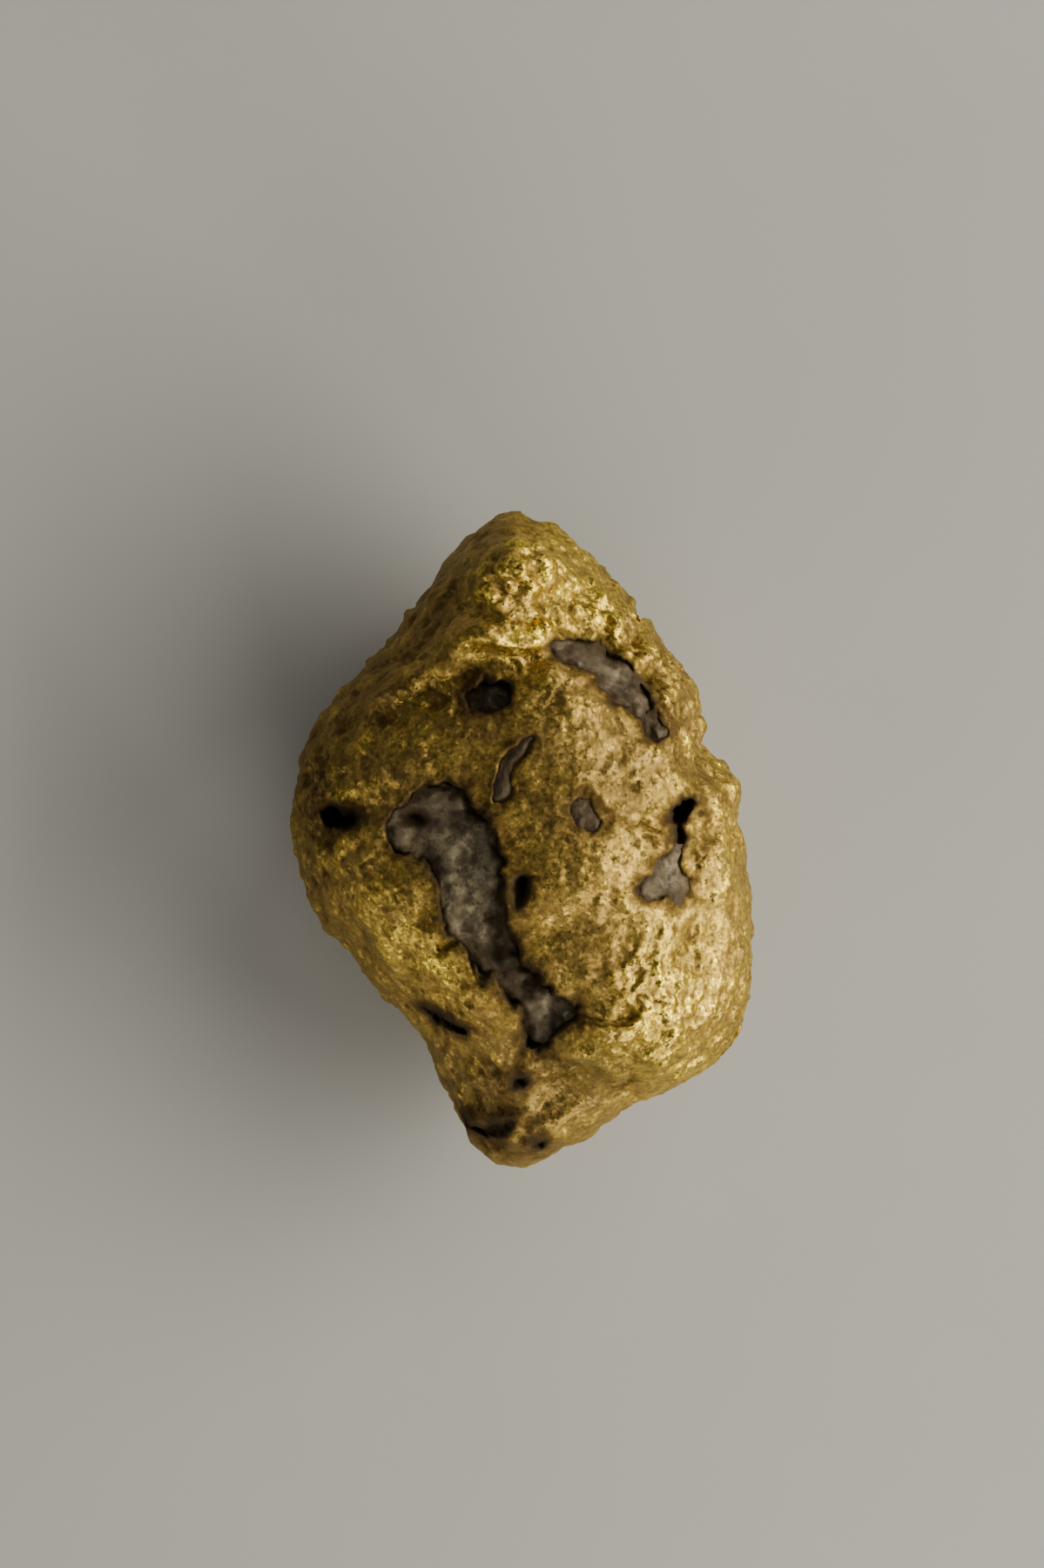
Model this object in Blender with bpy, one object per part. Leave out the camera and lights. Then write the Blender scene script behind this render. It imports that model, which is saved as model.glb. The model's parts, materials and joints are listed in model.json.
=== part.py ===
"""A nugget of native gold with quartz in its hollows, lying on its back.

As seen from above, +X is the nugget's right, +Y its pointed top, and +Z is up. The origin is on the
surface that the nugget rests on, under the middle of its bounding box. Sizes are in millimetres, and MM
turns them into metres when a mesh is made.
"""

import math

import bmesh
import bpy
import numpy as np
from mathutils import Vector
from mathutils.geometry import delaunay_2d_cdt

MM = 0.001

# Driving dimensions
LENGTH = 22.0  # along Y, from the pointed top to the narrow foot
RIM_HEIGHT = 4.6  # where the widest section lies above the rest flat
FRONT_RISE = 5.0  # crest of the front above the rim
BACK_REACH = 5.2  # how far the back would reach below the rim, before the rest flat is cut
DOME_EXCESS = 0.5  # how far each dome would stand above the flanks that cut it
FRONT_SQUARENESS = (2.8, 0.6, 0.3)  # power of the front dome: its mean, its swing round the nugget, and phase
SQUARE_TIP = (1.30, 0.45, 2.2)  # where round it and over how wide a turn the dome is squarer, and by how much
BACK_SQUARENESS = 2.4
RIM_WAVER = [(0.35, 1, -0.4), (0.20, 2, 1.0)]  # waves of the rim's height: height, count round, phase
EDGE_BLEND = 0.6  # rounding where two flanks meet
WALL_LEAN = 0.22  # how much narrower a hollow is at its floor than at its rim, on each side
FIT_GAP = 0.16  # clearance between a quartz piece and the wall and floor of its hollow
BROW_GAPS, CROWN_GAPS = 1.2, 3.0  # how far in the quartz's upper rings lie, in clearances
CROWN_BULGE = 0.12  # how far the top of a quartz piece stands above its shoulder
CROWN_LUMPS = (0.9, 0.16)  # lumps on the top of a quartz piece, as wavelength and height

# Mesh fineness
BODY_SUBDIVISIONS = 7
BODY_TRIANGLES = 6400
RING_STEP = 0.42  # spacing of the points round a hollow's edge
RING_TOLERANCE = 0.04  # how far inside the swept edge one of those points may lie
EASE_STATIONS = 2  # how many stations to each side a hollow's direction is averaged over
CROWN_STEP = 0.5  # spacing of the points on top of a quartz piece
CROWN_MARGIN = 0.25  # how far inside the edge of the top those points stay
MERGE_GAP = 1e-4

# The outline seen from above, clockwise from the pointed top. A smooth curve runs through its points.
OUTLINE = [
    (-0.3, 11.0), (0.8, 10.7), (2.3, 9.6), (3.7, 8.2), (4.6, 7.0), (5.5, 5.7), (5.9, 4.9), (6.0, 3.8),
    (6.3, 2.9), (7.1, 2.2), (7.4, 1.4), (7.3, 0.6), (7.5, -0.4), (7.7, -1.8), (7.8, -3.6), (7.6, -5.6),
    (7.1, -6.9), (5.8, -8.0), (4.8, -8.6), (3.8, -8.9), (2.7, -9.7), (1.5, -10.4), (0.5, -10.9),
    (-0.8, -11.0), (-1.6, -10.4), (-2.3, -9.1), (-2.9, -8.0), (-3.2, -6.9), (-3.8, -6.2), (-5.2, -4.8),
    (-6.2, -3.4), (-6.9, -2.7), (-7.3, -1.8), (-7.6, -0.5), (-7.8, 1.2), (-7.4, 2.9), (-6.6, 4.3),
    (-5.4, 5.7), (-4.0, 7.3), (-3.3, 8.4), (-2.4, 9.6), (-1.4, 10.6),
]
# Small knobs and notches on the outline: the direction in degrees from +X, half width in degrees, height.
OUTLINE_KNOBS = [
    (62.0, 1.6, -0.30), (64.5, 1.4, 0.12), (31.0, 2.5, 0.10), (13.5, 3.0, 0.10), (6.0, 2.5, -0.12),
    (-2.5, 2.5, 0.10), (-8.0, 2.0, -0.12), (117.0, 1.2, 0.15), (-155.0, 4.0, 0.08),
]

KNOB_REACH = 0.96  # share of the way out from which a knob starts to show
OUTLINE_EASE = 22.0  # degrees over which the inner ground averages the outline
EASE_SAMPLES = 9
OUTLINE_SHOWS = (0.45, 0.95)  # shares of the way out between which the ground takes on the outline's turns

# Worn flanks that the domes are ground down to: the direction each faces in plan, in degrees from +X, how
# far out from the middle it leaves the crest, and its slope.
FRONT_FLANKS = [
    (143, 6.25, 2.00),  # upper left, the long steep side from the top to the left
    (205, 4.6, 0.85),  # lower left
    (232, 5.2, 1.10),  # above the waist on the left
    (275, 5.5, 0.58),  # the foot, which leans away below the waist
    (-25, 5.0, 0.62),  # lower right bulge
    (8, 4.8, 0.60),  # right
    (42, 5.2, 0.75),  # upper right
    (66, 6.2, 0.60),  # right of the pointed top
]
BACK_FLANKS = [
    (95, 5.0, 0.70),
    (165, 3.6, 0.85),
    (255, 5.2, 0.65),
    (325, 4.0, 0.85),
    (40, 4.2, 0.80),
]

# Broad lumps and dips on the front: centre, radii, turn in degrees, and height.
FRONT_LUMPS = [
    ((1.7, -0.6), (2.5, 4.6), 6, 0.62),  # the long lobe right of the main hollow
    ((4.5, -4.9), (2.3, 2.6), 10, 0.85),  # lower right bulge
    ((2.9, -6.3), (1.6, 1.0), 12, 0.42),  # its lower brow
    ((4.2, -7.4), (1.6, 0.9), 20, 0.45),  # the edge of that brow
    ((1.2, 6.6), (0.9, 0.7), 0, -0.32),  # dip at the left end of the upper groove
    ((1.6, -8.1), (1.7, 0.7), 20, -0.45),  # trough between that bulge and the foot
    ((-4.4, -2.9), (1.9, 2.4), 35, 0.55),  # lower left cheek
    ((-4.0, 3.0), (2.4, 1.4), 35, 0.40),  # upper left cheek
    ((-0.3, 8.9), (1.5, 1.5), -35, 0.75),  # the cap's knob
    ((-1.5, 6.8), (1.4, 0.6), 12, 0.45),  # its shelf
    ((5.0, 4.9), (0.8, 1.2), 35, 0.35),  # crust right of the upper groove
    ((6.5, -0.3), (0.8, 0.9), 0, 0.35),  # ridge on the right edge
    ((6.8, 1.7), (0.6, 0.8), 0, 0.25),  # knob above that ridge
    ((4.9, 3.0), (1.6, 1.5), 0, 0.45),  # shoulder inside the right edge
    ((-0.8, -9.6), (1.1, 0.9), 0, 0.35),  # foot
    ((3.1, -3.7), (0.7, 1.7), 10, -0.12),  # dip between the lobe and the bulge
    ((0.4, 3.6), (1.6, 0.9), 0, 0.20),  # swell above the seam
    ((-1.5, 7.7), (1.1, 0.7), 25, -0.45),  # dip under the knob, open to the left
    ((-2.6, 4.9), (1.5, 0.55), 30, -0.12),  # trough under the cap
    ((-0.5, 9.3), (0.6, 0.5), -30, 0.25),  # crest of the knob
    ((6.1, -2.6), (0.7, 1.2), 0, -0.25),  # dip above the bulge
]

# Steps in level: a line whose left side stands higher, how much higher, and how far that height carries.
LEDGES = [
    # under the cap
    ([(-5.6, 4.0), (-3.8, 5.1), (-1.9, 5.7), (-0.9, 6.5), (-0.3, 6.2), (1.2, 6.5), (2.6, 7.2)], 0.65, 1.7),
    # across the cap's knob
    ([(-2.0, 8.2), (-1.2, 8.4), (0.4, 8.2), (1.6, 8.7)], 0.30, 1.0),
    # down the left of the cap's knob
    ([(0.3, 10.5), (-0.3, 9.8), (-1.0, 9.3), (-1.5, 8.8), (-1.7, 8.0)], 0.50, 1.7),
    # above the lower right brow
    ([(4.6, -5.4), (3.2, -5.6), (2.0, -5.7), (1.2, -6.4)], 0.22, 0.9),
]
LEDGE_SOFTNESS = 0.34  # half the width over which a step rises
LEDGE_START, LEDGE_END = 0.15, 0.80  # share of a step's length where its height is full
LUMPS_END = 0.86  # share of the way out to the rim from which lumps and steps fade out

# Hollows seen from above. Each runs along a line of places with half widths, to a depth.
MAIN_HOLLOW = [
    (-3.85, 0.35, 0.75), (-2.8, 0.45, 1.35), (-2.05, -0.3, 1.25), (-1.85, -1.3, 1.15), (-1.75, -2.3, 1.15),
    (-1.15, -3.1, 0.95), (-0.75, -3.9, 0.75), (-0.3, -4.5, 0.65), (0.25, -5.0, 0.65), (0.75, -5.6, 0.85),
    (0.5, -6.35, 0.45),
]
UPPER_HOLLOW = [
    (1.35, 6.35, 0.38), (2.1, 6.1, 0.58), (2.85, 5.8, 0.70), (3.3, 5.2, 0.50), (3.65, 4.65, 0.38),
    (4.15, 4.1, 0.32), (4.6, 3.65, 0.18),
]
RIGHT_HOLLOW = [(5.15, -0.5, 0.35), (4.95, -1.1, 0.60), (4.75, -1.55, 0.70), (4.25, -1.85, 0.38)]
PIT_HOLLOW = [(-1.45, 4.5, 0.52), (-1.0, 4.6, 0.57)]
SEAM_HOLLOW = [(0.05, 3.0, 0.20), (-0.4, 2.55, 0.32), (-0.7, 2.0, 0.20), (-0.85, 1.4, 0.32)]
SPECK_HOLLOW = [(2.0, 0.85, 0.33), (2.45, 0.8, 0.30)]
# Each quartz piece with its hollow, the hollow's depth, and how far the quartz's crown lies below the rim.
QUARTZ = {
    "quartz_main": (MAIN_HOLLOW, 1.75, 0.50),
    "quartz_upper_right": (UPPER_HOLLOW, 1.15, 0.28),
    "quartz_right": (RIGHT_HOLLOW, 1.10, 0.22),
    "quartz_pit": (PIT_HOLLOW, 1.10, 0.45),
    "quartz_seam": (SEAM_HOLLOW, 0.65, 0.16),
    "quartz_speck": (SPECK_HOLLOW, 0.65, 0.14),
}
LEAST_HALF = 0.05  # half width that a hollow keeps however far its edge is moved in
# Open holes with nothing in them, in the same form.
HOLES = [
    ([(5.45, 1.15, 0.38), (5.45, 0.95, 0.42)], 1.5),  # round hole at the right
    ([(5.4, 0.9, 0.2), (5.2, 0.0, 0.24)], 0.6),  # groove below it
    ([(-6.5, 1.1, 0.38), (-6.05, 0.8, 0.44)], 1.0),  # hole in the left side
    ([(0.0, -1.5, 0.3), (0.1, -2.1, 0.28)], 0.5),  # niche beside the main hollow
    ([(-1.8, -9.35, 0.2), (-1.1, -9.5, 0.26), (-0.2, -9.35, 0.28)], 0.5),  # chain of pits on the foot
    ([(-3.4, -5.5, 0.2), (-2.7, -6.05, 0.24), (-2.2, -6.4, 0.2)], 0.5),  # slit above the waist
    ([(0.7, -10.0, 0.22), (0.9, -9.9, 0.22)], 0.5),
    ([(-0.1, -7.85, 0.26), (0.1, -7.9, 0.24)], 0.45),
]
# How forms on the front stray from their smooth lines, as wavelength and distance
WANDER = [(2.4, 0.28), (0.8, 0.14)]

# Lumps all over, as wavelength and height
RELIEF = [(3.6, 0.26), (1.7, 0.13), (0.95, 0.06)]
RIM_RELIEF = 0.3  # share of their height that the lumps keep at the rim
RIM_BAND = (0.05, 0.45)  # rise of a direction out of the rim's plane, over which they regain the rest

GOLD_COLOUR = (0.72, 0.50, 0.17, 1.0)
QUARTZ_COLOURS = {
    "quartz_main": (0.20, 0.18, 0.17, 1.0),
    "quartz_upper_right": (0.24, 0.19, 0.18, 1.0),
    "quartz_right": (0.42, 0.36, 0.33, 1.0),
    "quartz_pit": (0.11, 0.09, 0.08, 1.0),
    "quartz_seam": (0.19, 0.14, 0.13, 1.0),
    "quartz_speck": (0.17, 0.13, 0.12, 1.0),
}


def clear_scene():
    for thing in list(bpy.data.objects):
        bpy.data.objects.remove(thing, do_unlink=True)


def material(name, colour, roughness, metallic):
    made = bpy.data.materials.new(name)
    made.use_nodes = True
    shader = made.node_tree.nodes["Principled BSDF"]
    shader.inputs["Base Color"].default_value = colour
    shader.inputs["Roughness"].default_value = roughness
    shader.inputs["Metallic"].default_value = metallic
    return made


def smoothstep(low, high, value):
    t = np.clip((value - low) / (high - low), 0.0, 1.0)
    return t * t * (3.0 - 2.0 * t)


def smooth_min(a, b, blend):
    """The lower of two heights, with the crease between them rounded over the blend length."""
    h = np.clip(0.5 + 0.5 * (b - a) / blend, 0.0, 1.0)
    return b + (a - b) * h - blend * h * (1.0 - h)


def lattice_random(ix, iy, iz, salt):
    """A repeatable number from 0 to 1 for each lattice corner."""
    h = ix * 374761393 + iy * 668265263 + iz * 1442695041 + salt * 974634777
    h = (h ^ (h >> 13)) & 0xFFFFFFFF
    h = (h * 1274126177) & 0xFFFFFFFF
    return ((h ^ (h >> 16)) & 0xFFFFFF) / float(0xFFFFFF)


def soft_noise(points, wavelength, salt):
    """Smooth noise from -1 to 1: random corner values blended across each lattice cell."""
    scaled = points / wavelength + 100.0
    cell = np.floor(scaled).astype(np.int64)
    f = scaled - cell
    u = f * f * f * (f * (f * 6.0 - 15.0) + 10.0)
    total = np.zeros(len(points))
    for corner in range(8):
        offset = np.array([corner & 1, (corner >> 1) & 1, (corner >> 2) & 1])
        weight = np.prod(np.where(offset == 1, u, 1.0 - u), axis=1)
        total += weight * lattice_random(*(cell + offset).T, salt)
    return 2.0 * total - 1.0


def outline_radius(angle):
    """Distance from the middle to the outline in each direction: a cubic through its points."""
    points = np.array(OUTLINE)
    at = np.arctan2(points[:, 1], points[:, 0])
    order = np.argsort(at)
    at, reach = at[order], np.hypot(points[:, 0], points[:, 1])[order]
    at = np.concatenate([at[-2:] - 2 * math.pi, at, at[:2] + 2 * math.pi])
    reach = np.concatenate([reach[-2:], reach, reach[:2]])
    slope = np.gradient(reach, at)
    i = np.clip(np.searchsorted(at, angle, side="right") - 1, 0, len(at) - 2)
    span = at[i + 1] - at[i]
    t = (angle - at[i]) / span
    return (
        (2 * t**3 - 3 * t**2 + 1) * reach[i]
        + (t**3 - 2 * t**2 + t) * span * slope[i]
        + (3 * t**2 - 2 * t**3) * reach[i + 1]
        + (t**3 - t**2) * span * slope[i + 1]
    )


def eased_radius(angle):
    """The outline's radius averaged over OUTLINE_EASE degrees to each side, for the ground inside it."""
    turns = np.radians(np.linspace(-OUTLINE_EASE, OUTLINE_EASE, EASE_SAMPLES))
    return np.mean([outline_radius(np.angle(np.exp(1j * (angle + turn)))) for turn in turns], axis=0)


def knob_height(angle):
    """How far the small knobs and notches move the outline in each direction."""
    height = np.zeros(angle.shape)
    for degrees, half_width, rise in OUTLINE_KNOBS:
        off = np.degrees(np.angle(np.exp(1j * (angle - math.radians(degrees)))))
        height += rise * np.exp(-((off / half_width) ** 2))
    return height


def rim_share(x, y):
    """0 in the middle of the plan, 1 on the outline. Only the outer ground follows its small turns."""
    angle = np.arctan2(y, x)
    out = np.hypot(x, y)
    outline = outline_radius(angle)
    near = smoothstep(*OUTLINE_SHOWS, out / outline)
    knobs = knob_height(angle) * smoothstep(KNOB_REACH, 1.0, out / outline)
    reach = near * (outline + knobs) + (1.0 - near) * eased_radius(angle)
    return np.clip(out / reach, 0.0, 1.0)


def side_of_line(x, y, line):
    """Distance to an open line in plan, positive on its left and negative on its right."""
    best = np.full(x.shape, np.inf)
    side = np.ones(x.shape)
    for (ax, ay), (bx, by) in zip(line, line[1:]):
        ex, ey = bx - ax, by - ay
        t = np.clip(((x - ax) * ex + (y - ay) * ey) / (ex * ex + ey * ey), 0.0, 1.0)
        gap = np.hypot(x - ax - t * ex, y - ay - t * ey)
        side = np.where(gap < best, np.where(ex * (y - ay) > ey * (x - ax), 1.0, -1.0), side)
        best = np.minimum(best, gap)
    return best * side


def along_chord(x, y, line):
    """0 at a line's first place and 1 at its last one, along the straight way between them."""
    (ax, ay), (bx, by) = line[0], line[-1]
    ex, ey = bx - ax, by - ay
    return ((x - ax) * ex + (y - ay) * ey) / (ex * ex + ey * ey)


def turned(x, y, centre, radii, degrees):
    """Distance from an ellipse's centre in plan, as a share of its radius in that direction."""
    c, s = math.cos(math.radians(degrees)), math.sin(math.radians(degrees))
    dx, dy = x - centre[0], y - centre[1]
    return np.hypot((dx * c + dy * s) / radii[0], (dy * c - dx * s) / radii[1])


def ledge_height(x, y, line, rise, carry):
    """A step along a line: the left side stands higher, and that height fades out away from the line."""
    off = side_of_line(x, y, line)
    along = along_chord(x, y, line)
    lifted = smoothstep(-LEDGE_SOFTNESS, LEDGE_SOFTNESS, off)
    ends = smoothstep(0.0, LEDGE_START, along) * smoothstep(1.0, LEDGE_END, along)
    return rise * lifted * ends * np.exp(-((np.maximum(off, 0.0) / carry) ** 2))


def rim_height(x, y, share):
    """Height of the widest section: it wavers a little round the nugget, and is level in the middle."""
    angle = np.arctan2(y, x)
    return RIM_HEIGHT + share**2 * sum(rise * np.cos(count * angle + phase) for rise, count, phase in RIM_WAVER)


def ground_down(height, x, y, flanks, crest):
    """A dome cut by sloping flanks."""
    for degrees, reach, slope in flanks:
        out = x * math.cos(math.radians(degrees)) + y * math.sin(math.radians(degrees))
        height = smooth_min(height, crest - slope * (out - reach), EDGE_BLEND)
    return height


def wandered(x, y):
    """Plan places moved about a little, so that forms drawn through them turn out uneven."""
    flat = np.column_stack([x, y, np.zeros(len(x))])
    for k, (wavelength, stray) in enumerate(WANDER):
        x = x + stray * soft_noise(flat, wavelength, 31 + 2 * k)
        y = y + stray * soft_noise(flat, wavelength, 32 + 2 * k)
    return x, y


def front_height(x, y):
    """Height of the front surface above the rest flat, without its hollows."""
    share = rim_share(x, y)
    rim = rim_height(x, y, share)
    angle = np.arctan2(y, x)
    power, swing, phase = FRONT_SQUARENESS
    at, width, more = SQUARE_TIP
    squareness = power + swing * np.cos(angle + phase) + more * np.exp(-(((angle - at) / width) ** 2))
    dome = (FRONT_RISE + DOME_EXCESS) * np.sqrt(np.maximum(1.0 - share**squareness, 0.0))
    x, y = wandered(x, y)
    height = ground_down(dome, x, y, FRONT_FLANKS, FRONT_RISE)
    fade = smoothstep(1.0, LUMPS_END, share)
    for centre, radii, degrees, rise in FRONT_LUMPS:
        height = height + rise * fade * np.exp(-(turned(x, y, centre, radii, degrees) ** 2))
    for line, rise, carry in LEDGES:
        height = height + fade * ledge_height(x, y, line, rise, carry)
    return rim + height


def back_height(x, y):
    """Height of the back surface, before the rest flat is cut."""
    share = rim_share(x, y)
    dome = BACK_REACH * np.sqrt(np.maximum(1.0 - share**BACK_SQUARENESS, 0.0))
    return rim_height(x, y, share) - ground_down(dome, x, y, BACK_FLANKS, BACK_REACH - DOME_EXCESS)


def relief(points):
    """Height of the soft lumps all over the gold at these points."""
    return sum(height * soft_noise(points, wave, 11 + k) for k, (wave, height) in enumerate(RELIEF))


def lumpy_front(x, y):
    """Height of the front surface with its soft lumps, without its hollows."""
    height = front_height(x, y)
    return height + relief(np.column_stack([x, y, height]))


def vertex_normals(points, faces):
    a, b, c = (points[faces[:, k]] for k in range(3))
    face_normals = np.cross(b - a, c - a)
    total = np.zeros_like(points)
    for k in range(3):
        for axis in range(3):
            total[:, axis] += np.bincount(faces[:, k], face_normals[:, axis], len(points))
    return total / np.linalg.norm(total, axis=1, keepdims=True)


def gold_surface(directions, faces):
    """The nugget's surface for each direction from its middle: front and back sheets that meet at the rim."""
    angle = np.arctan2(directions[:, 1], directions[:, 0])
    share = np.hypot(directions[:, 0], directions[:, 1])
    reach = outline_radius(angle) + knob_height(angle) * smoothstep(KNOB_REACH, 1.0, share)
    x, y = reach * directions[:, 0], reach * directions[:, 1]
    front = directions[:, 2] > 0
    points = np.column_stack([x, y, np.where(front, front_height(x, y), back_height(x, y))])
    off_rim = smoothstep(*RIM_BAND, np.abs(directions[:, 2]))
    lumps = relief(points) * (RIM_RELIEF + (1.0 - RIM_RELIEF) * off_rim)
    return points + vertex_normals(points, faces) * lumps[:, None]


def make_gold(finish):
    """The gold: one solid, shaped on a fine sphere, thinned to facets and cut flat where it rests."""
    shape = bmesh.new()
    bmesh.ops.create_icosphere(shape, subdivisions=BODY_SUBDIVISIONS, radius=1.0)
    directions = np.array([v.co for v in shape.verts])
    directions /= np.linalg.norm(directions, axis=1, keepdims=True)
    faces = np.array([[v.index for v in f.verts] for f in shape.faces])
    for vert, place in zip(shape.verts, gold_surface(directions, faces) * MM):
        vert.co = place
    body = finished("gold_body", shape, finish)
    thin = body.modifiers.new("facets", "DECIMATE")
    thin.ratio = BODY_TRIANGLES / len(faces)
    sinks = [(spine, deep) for spine, deep, _ in QUARTZ.values()] + HOLES
    for k, (spine, deep) in enumerate(sinks):
        cut(body, hollow_cutter(f"hollow_cutter_{k}", spine, deep))
    cut(body, rest_cutter())


def cut(body, cutter):
    taken = body.modifiers.new(cutter.name, "BOOLEAN")
    taken.operation = "DIFFERENCE"
    taken.object = cutter


def rest_cutter():
    """A block whose top face is the surface that the nugget rests on."""
    side, deep = 2.0 * LENGTH * MM, LENGTH * MM
    shape = bmesh.new()
    bmesh.ops.create_cube(shape, size=1.0)
    bmesh.ops.scale(shape, vec=(side, side, deep), verts=shape.verts)
    bmesh.ops.translate(shape, vec=(0.0, 0.0, -deep / 2), verts=shape.verts)
    block = finished("rest_cutter", shape, None)
    block.hide_render = True
    block.display_type = "WIRE"
    return block


def edge_ring(spine, grow):
    """Points round the edge of a hollow, which is discs swept along its spine, moved out by grow."""
    stations = [np.array(spine[0])]
    for near, far in zip(np.array(spine), np.array(spine[1:])):
        steps = max(1, round(math.hypot(*(far - near)[:2]) / RING_STEP))
        stations += [near + (far - near) * (k + 1) / steps for k in range(steps)]
    places, halves = np.array(stations)[:, :2], np.array(stations)[:, 2]
    rim = both_sides(places, halves, halves)
    gaps = np.linalg.norm(rim[:, None] - places[None], axis=2)
    outermost = np.max(halves - gaps, axis=1) < RING_TOLERANCE
    ring = both_sides(places, halves, np.maximum(halves + grow, LEAST_HALF))[outermost]
    return 2 * ring - np.column_stack(wandered(*ring.T))


def both_sides(places, halves, grown):
    """Points round a line of places: down its right side, round its end, and back up its left side."""
    order = np.arange(len(places))
    ways = places[np.minimum(order + EASE_STATIONS, order[-1])] - places[np.maximum(order - EASE_STATIONS, 0)]
    ways /= np.linalg.norm(ways, axis=1, keepdims=True)
    across = np.column_stack([-ways[:, 1], ways[:, 0]])
    offset = grown[:, None] * across
    ends = []
    for end, sign in ((-1, 1.0), (0, -1.0)):
        count = max(2, round(math.pi * halves[end] / RING_STEP))
        turns = math.pi * (np.arange(count)[:, None] + 1) / (count + 1) - math.pi / 2
        turned_way = np.cos(turns) * ways[end] + np.sin(turns) * across[end]
        ends.append(places[end] + sign * grown[end] * turned_way)
    return np.vstack([places - offset, ends[0], (places + offset)[::-1], ends[1]])


def filled(places, count):
    """Triangles between places in plan, as indices, inside the ring that the first count of them make."""
    plan = [Vector(place[:2]) for place in places]
    found = delaunay_2d_cdt(plan, [], [list(range(count))], 1, MERGE_GAP)
    faces, came_from = found[2], found[3]
    return [[came_from[i][0] for i in face] for face in faces]


def stack(name, levels, finish, top=()):
    """A closed solid from rings of equal length, lowest first, filled across at its foot and at its top.

    Places inside the last ring can be given heights of their own as top.
    """
    shape = bmesh.new()
    rings = [[shape.verts.new(Vector(p) * MM) for p in level] for level in levels]
    for low, high in zip(rings, rings[1:]):
        for k in range(len(low)):
            n = (k + 1) % len(low)
            shape.faces.new((low[k], low[n], high[n], high[k]))
    inner = [shape.verts.new(Vector(p) * MM) for p in top]
    for verts, places in ((rings[0], levels[0]), (rings[-1] + inner, [*levels[-1], *top])):
        for corners in filled(places, len(levels[0])):
            shape.faces.new([verts[i] for i in corners])
    bmesh.ops.triangulate(shape, faces=shape.faces)
    bmesh.ops.recalc_face_normals(shape, faces=shape.faces)
    return finished(name, shape, finish)


def inside_ring(x, y, ring):
    """True for a place inside a ring, where a line to the right crosses the ring an odd number of times."""
    crossings = np.zeros(x.shape, dtype=int)
    for (ax, ay), (bx, by) in zip(ring, np.roll(ring, -1, axis=0)):
        spans = (ay > y) != (by > y)
        crossings += spans & (x < ax + (bx - ax) * (y - ay) / np.where(by == ay, 1.0, by - ay))
    return crossings % 2 == 1


def places_inside(ring):
    """Places on a grid of CROWN_STEP inside a ring, no nearer than CROWN_MARGIN to its points."""
    across, along = (np.arange(*ends, CROWN_STEP) for ends in zip(ring.min(axis=0), ring.max(axis=0)))
    x, y = (places.ravel() for places in np.meshgrid(across, along))
    gaps = np.hypot(x[:, None] - ring[:, 0], y[:, None] - ring[:, 1])
    keep = inside_ring(x, y, ring) & (gaps.min(axis=1) > CROWN_MARGIN)
    return np.column_stack([x[keep], y[keep]])


def level_at(ring, heights):
    return np.column_stack([ring, heights])


def hollow_cutter(name, spine, deep):
    """What is cut away for a hollow: straight up from its rim, and leaning in from its rim to its floor."""
    rim, floor = edge_ring(spine, 0.0), edge_ring(spine, -WALL_LEAN)
    floor_height = lumpy_front(*floor.T) - deep
    above = np.full(len(rim), RIM_HEIGHT + 2 * FRONT_RISE)
    levels = [level_at(floor, floor_height), level_at(rim, lumpy_front(*rim.T)), level_at(rim, above)]
    cutter = stack(name, levels, None)
    cutter.hide_render = True
    cutter.display_type = "WIRE"
    return cutter


def crown_height(x, y, below_rim):
    """Height of the top of the quartz: it follows the gold's front, lower down, with its own lumps."""
    wavelength, height = CROWN_LUMPS
    lumps = height * soft_noise(np.column_stack([x, y, np.zeros(len(x))]), wavelength, 51)
    return lumpy_front(x, y) - below_rim + lumps


def make_quartz(name, spine, deep, below_rim, finish):
    """Quartz in a hollow: it follows the walls at a small clearance, and its top is domed and lumpy."""
    foot = edge_ring(spine, -WALL_LEAN - FIT_GAP)
    brow = edge_ring(spine, -WALL_LEAN * below_rim / deep - BROW_GAPS * FIT_GAP)
    crown = edge_ring(spine, -WALL_LEAN - CROWN_GAPS * FIT_GAP)
    top = places_inside(crown)
    levels = [
        level_at(foot, lumpy_front(*foot.T) - deep + FIT_GAP),
        level_at(brow, lumpy_front(*brow.T) - below_rim - CROWN_BULGE),
        level_at(crown, crown_height(*crown.T, below_rim)),
    ]
    return stack(name, levels, finish, level_at(top, crown_height(*top.T, below_rim)))


def finished(name, shape, finish):
    """An object of this shape in the scene, with its material if it has one."""
    mesh = bpy.data.meshes.new(name)
    shape.to_mesh(mesh)
    shape.free()
    if finish:
        mesh.materials.append(finish)
    piece = bpy.data.objects.new(name, mesh)
    bpy.context.scene.collection.objects.link(piece)
    return piece


def main():
    clear_scene()
    make_gold(material("native gold", GOLD_COLOUR, 0.35, 1.0))
    for name, (spine, deep, below_rim) in QUARTZ.items():
        make_quartz(name, spine, deep, below_rim, material(name, QUARTZ_COLOURS[name], 0.45, 0.0))


if __name__ == "__main__":
    main()
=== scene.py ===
"""The finished look of a nugget of native gold with quartz in its hollows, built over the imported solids.

It is laid out as a Blender add-on and run as a script. Forms are worked out in millimetres, with +X to the
nugget's right, +Y to its pointed top and +Z up, as in the frame, and MM turns them into metres.
"""

import json
import math

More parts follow.
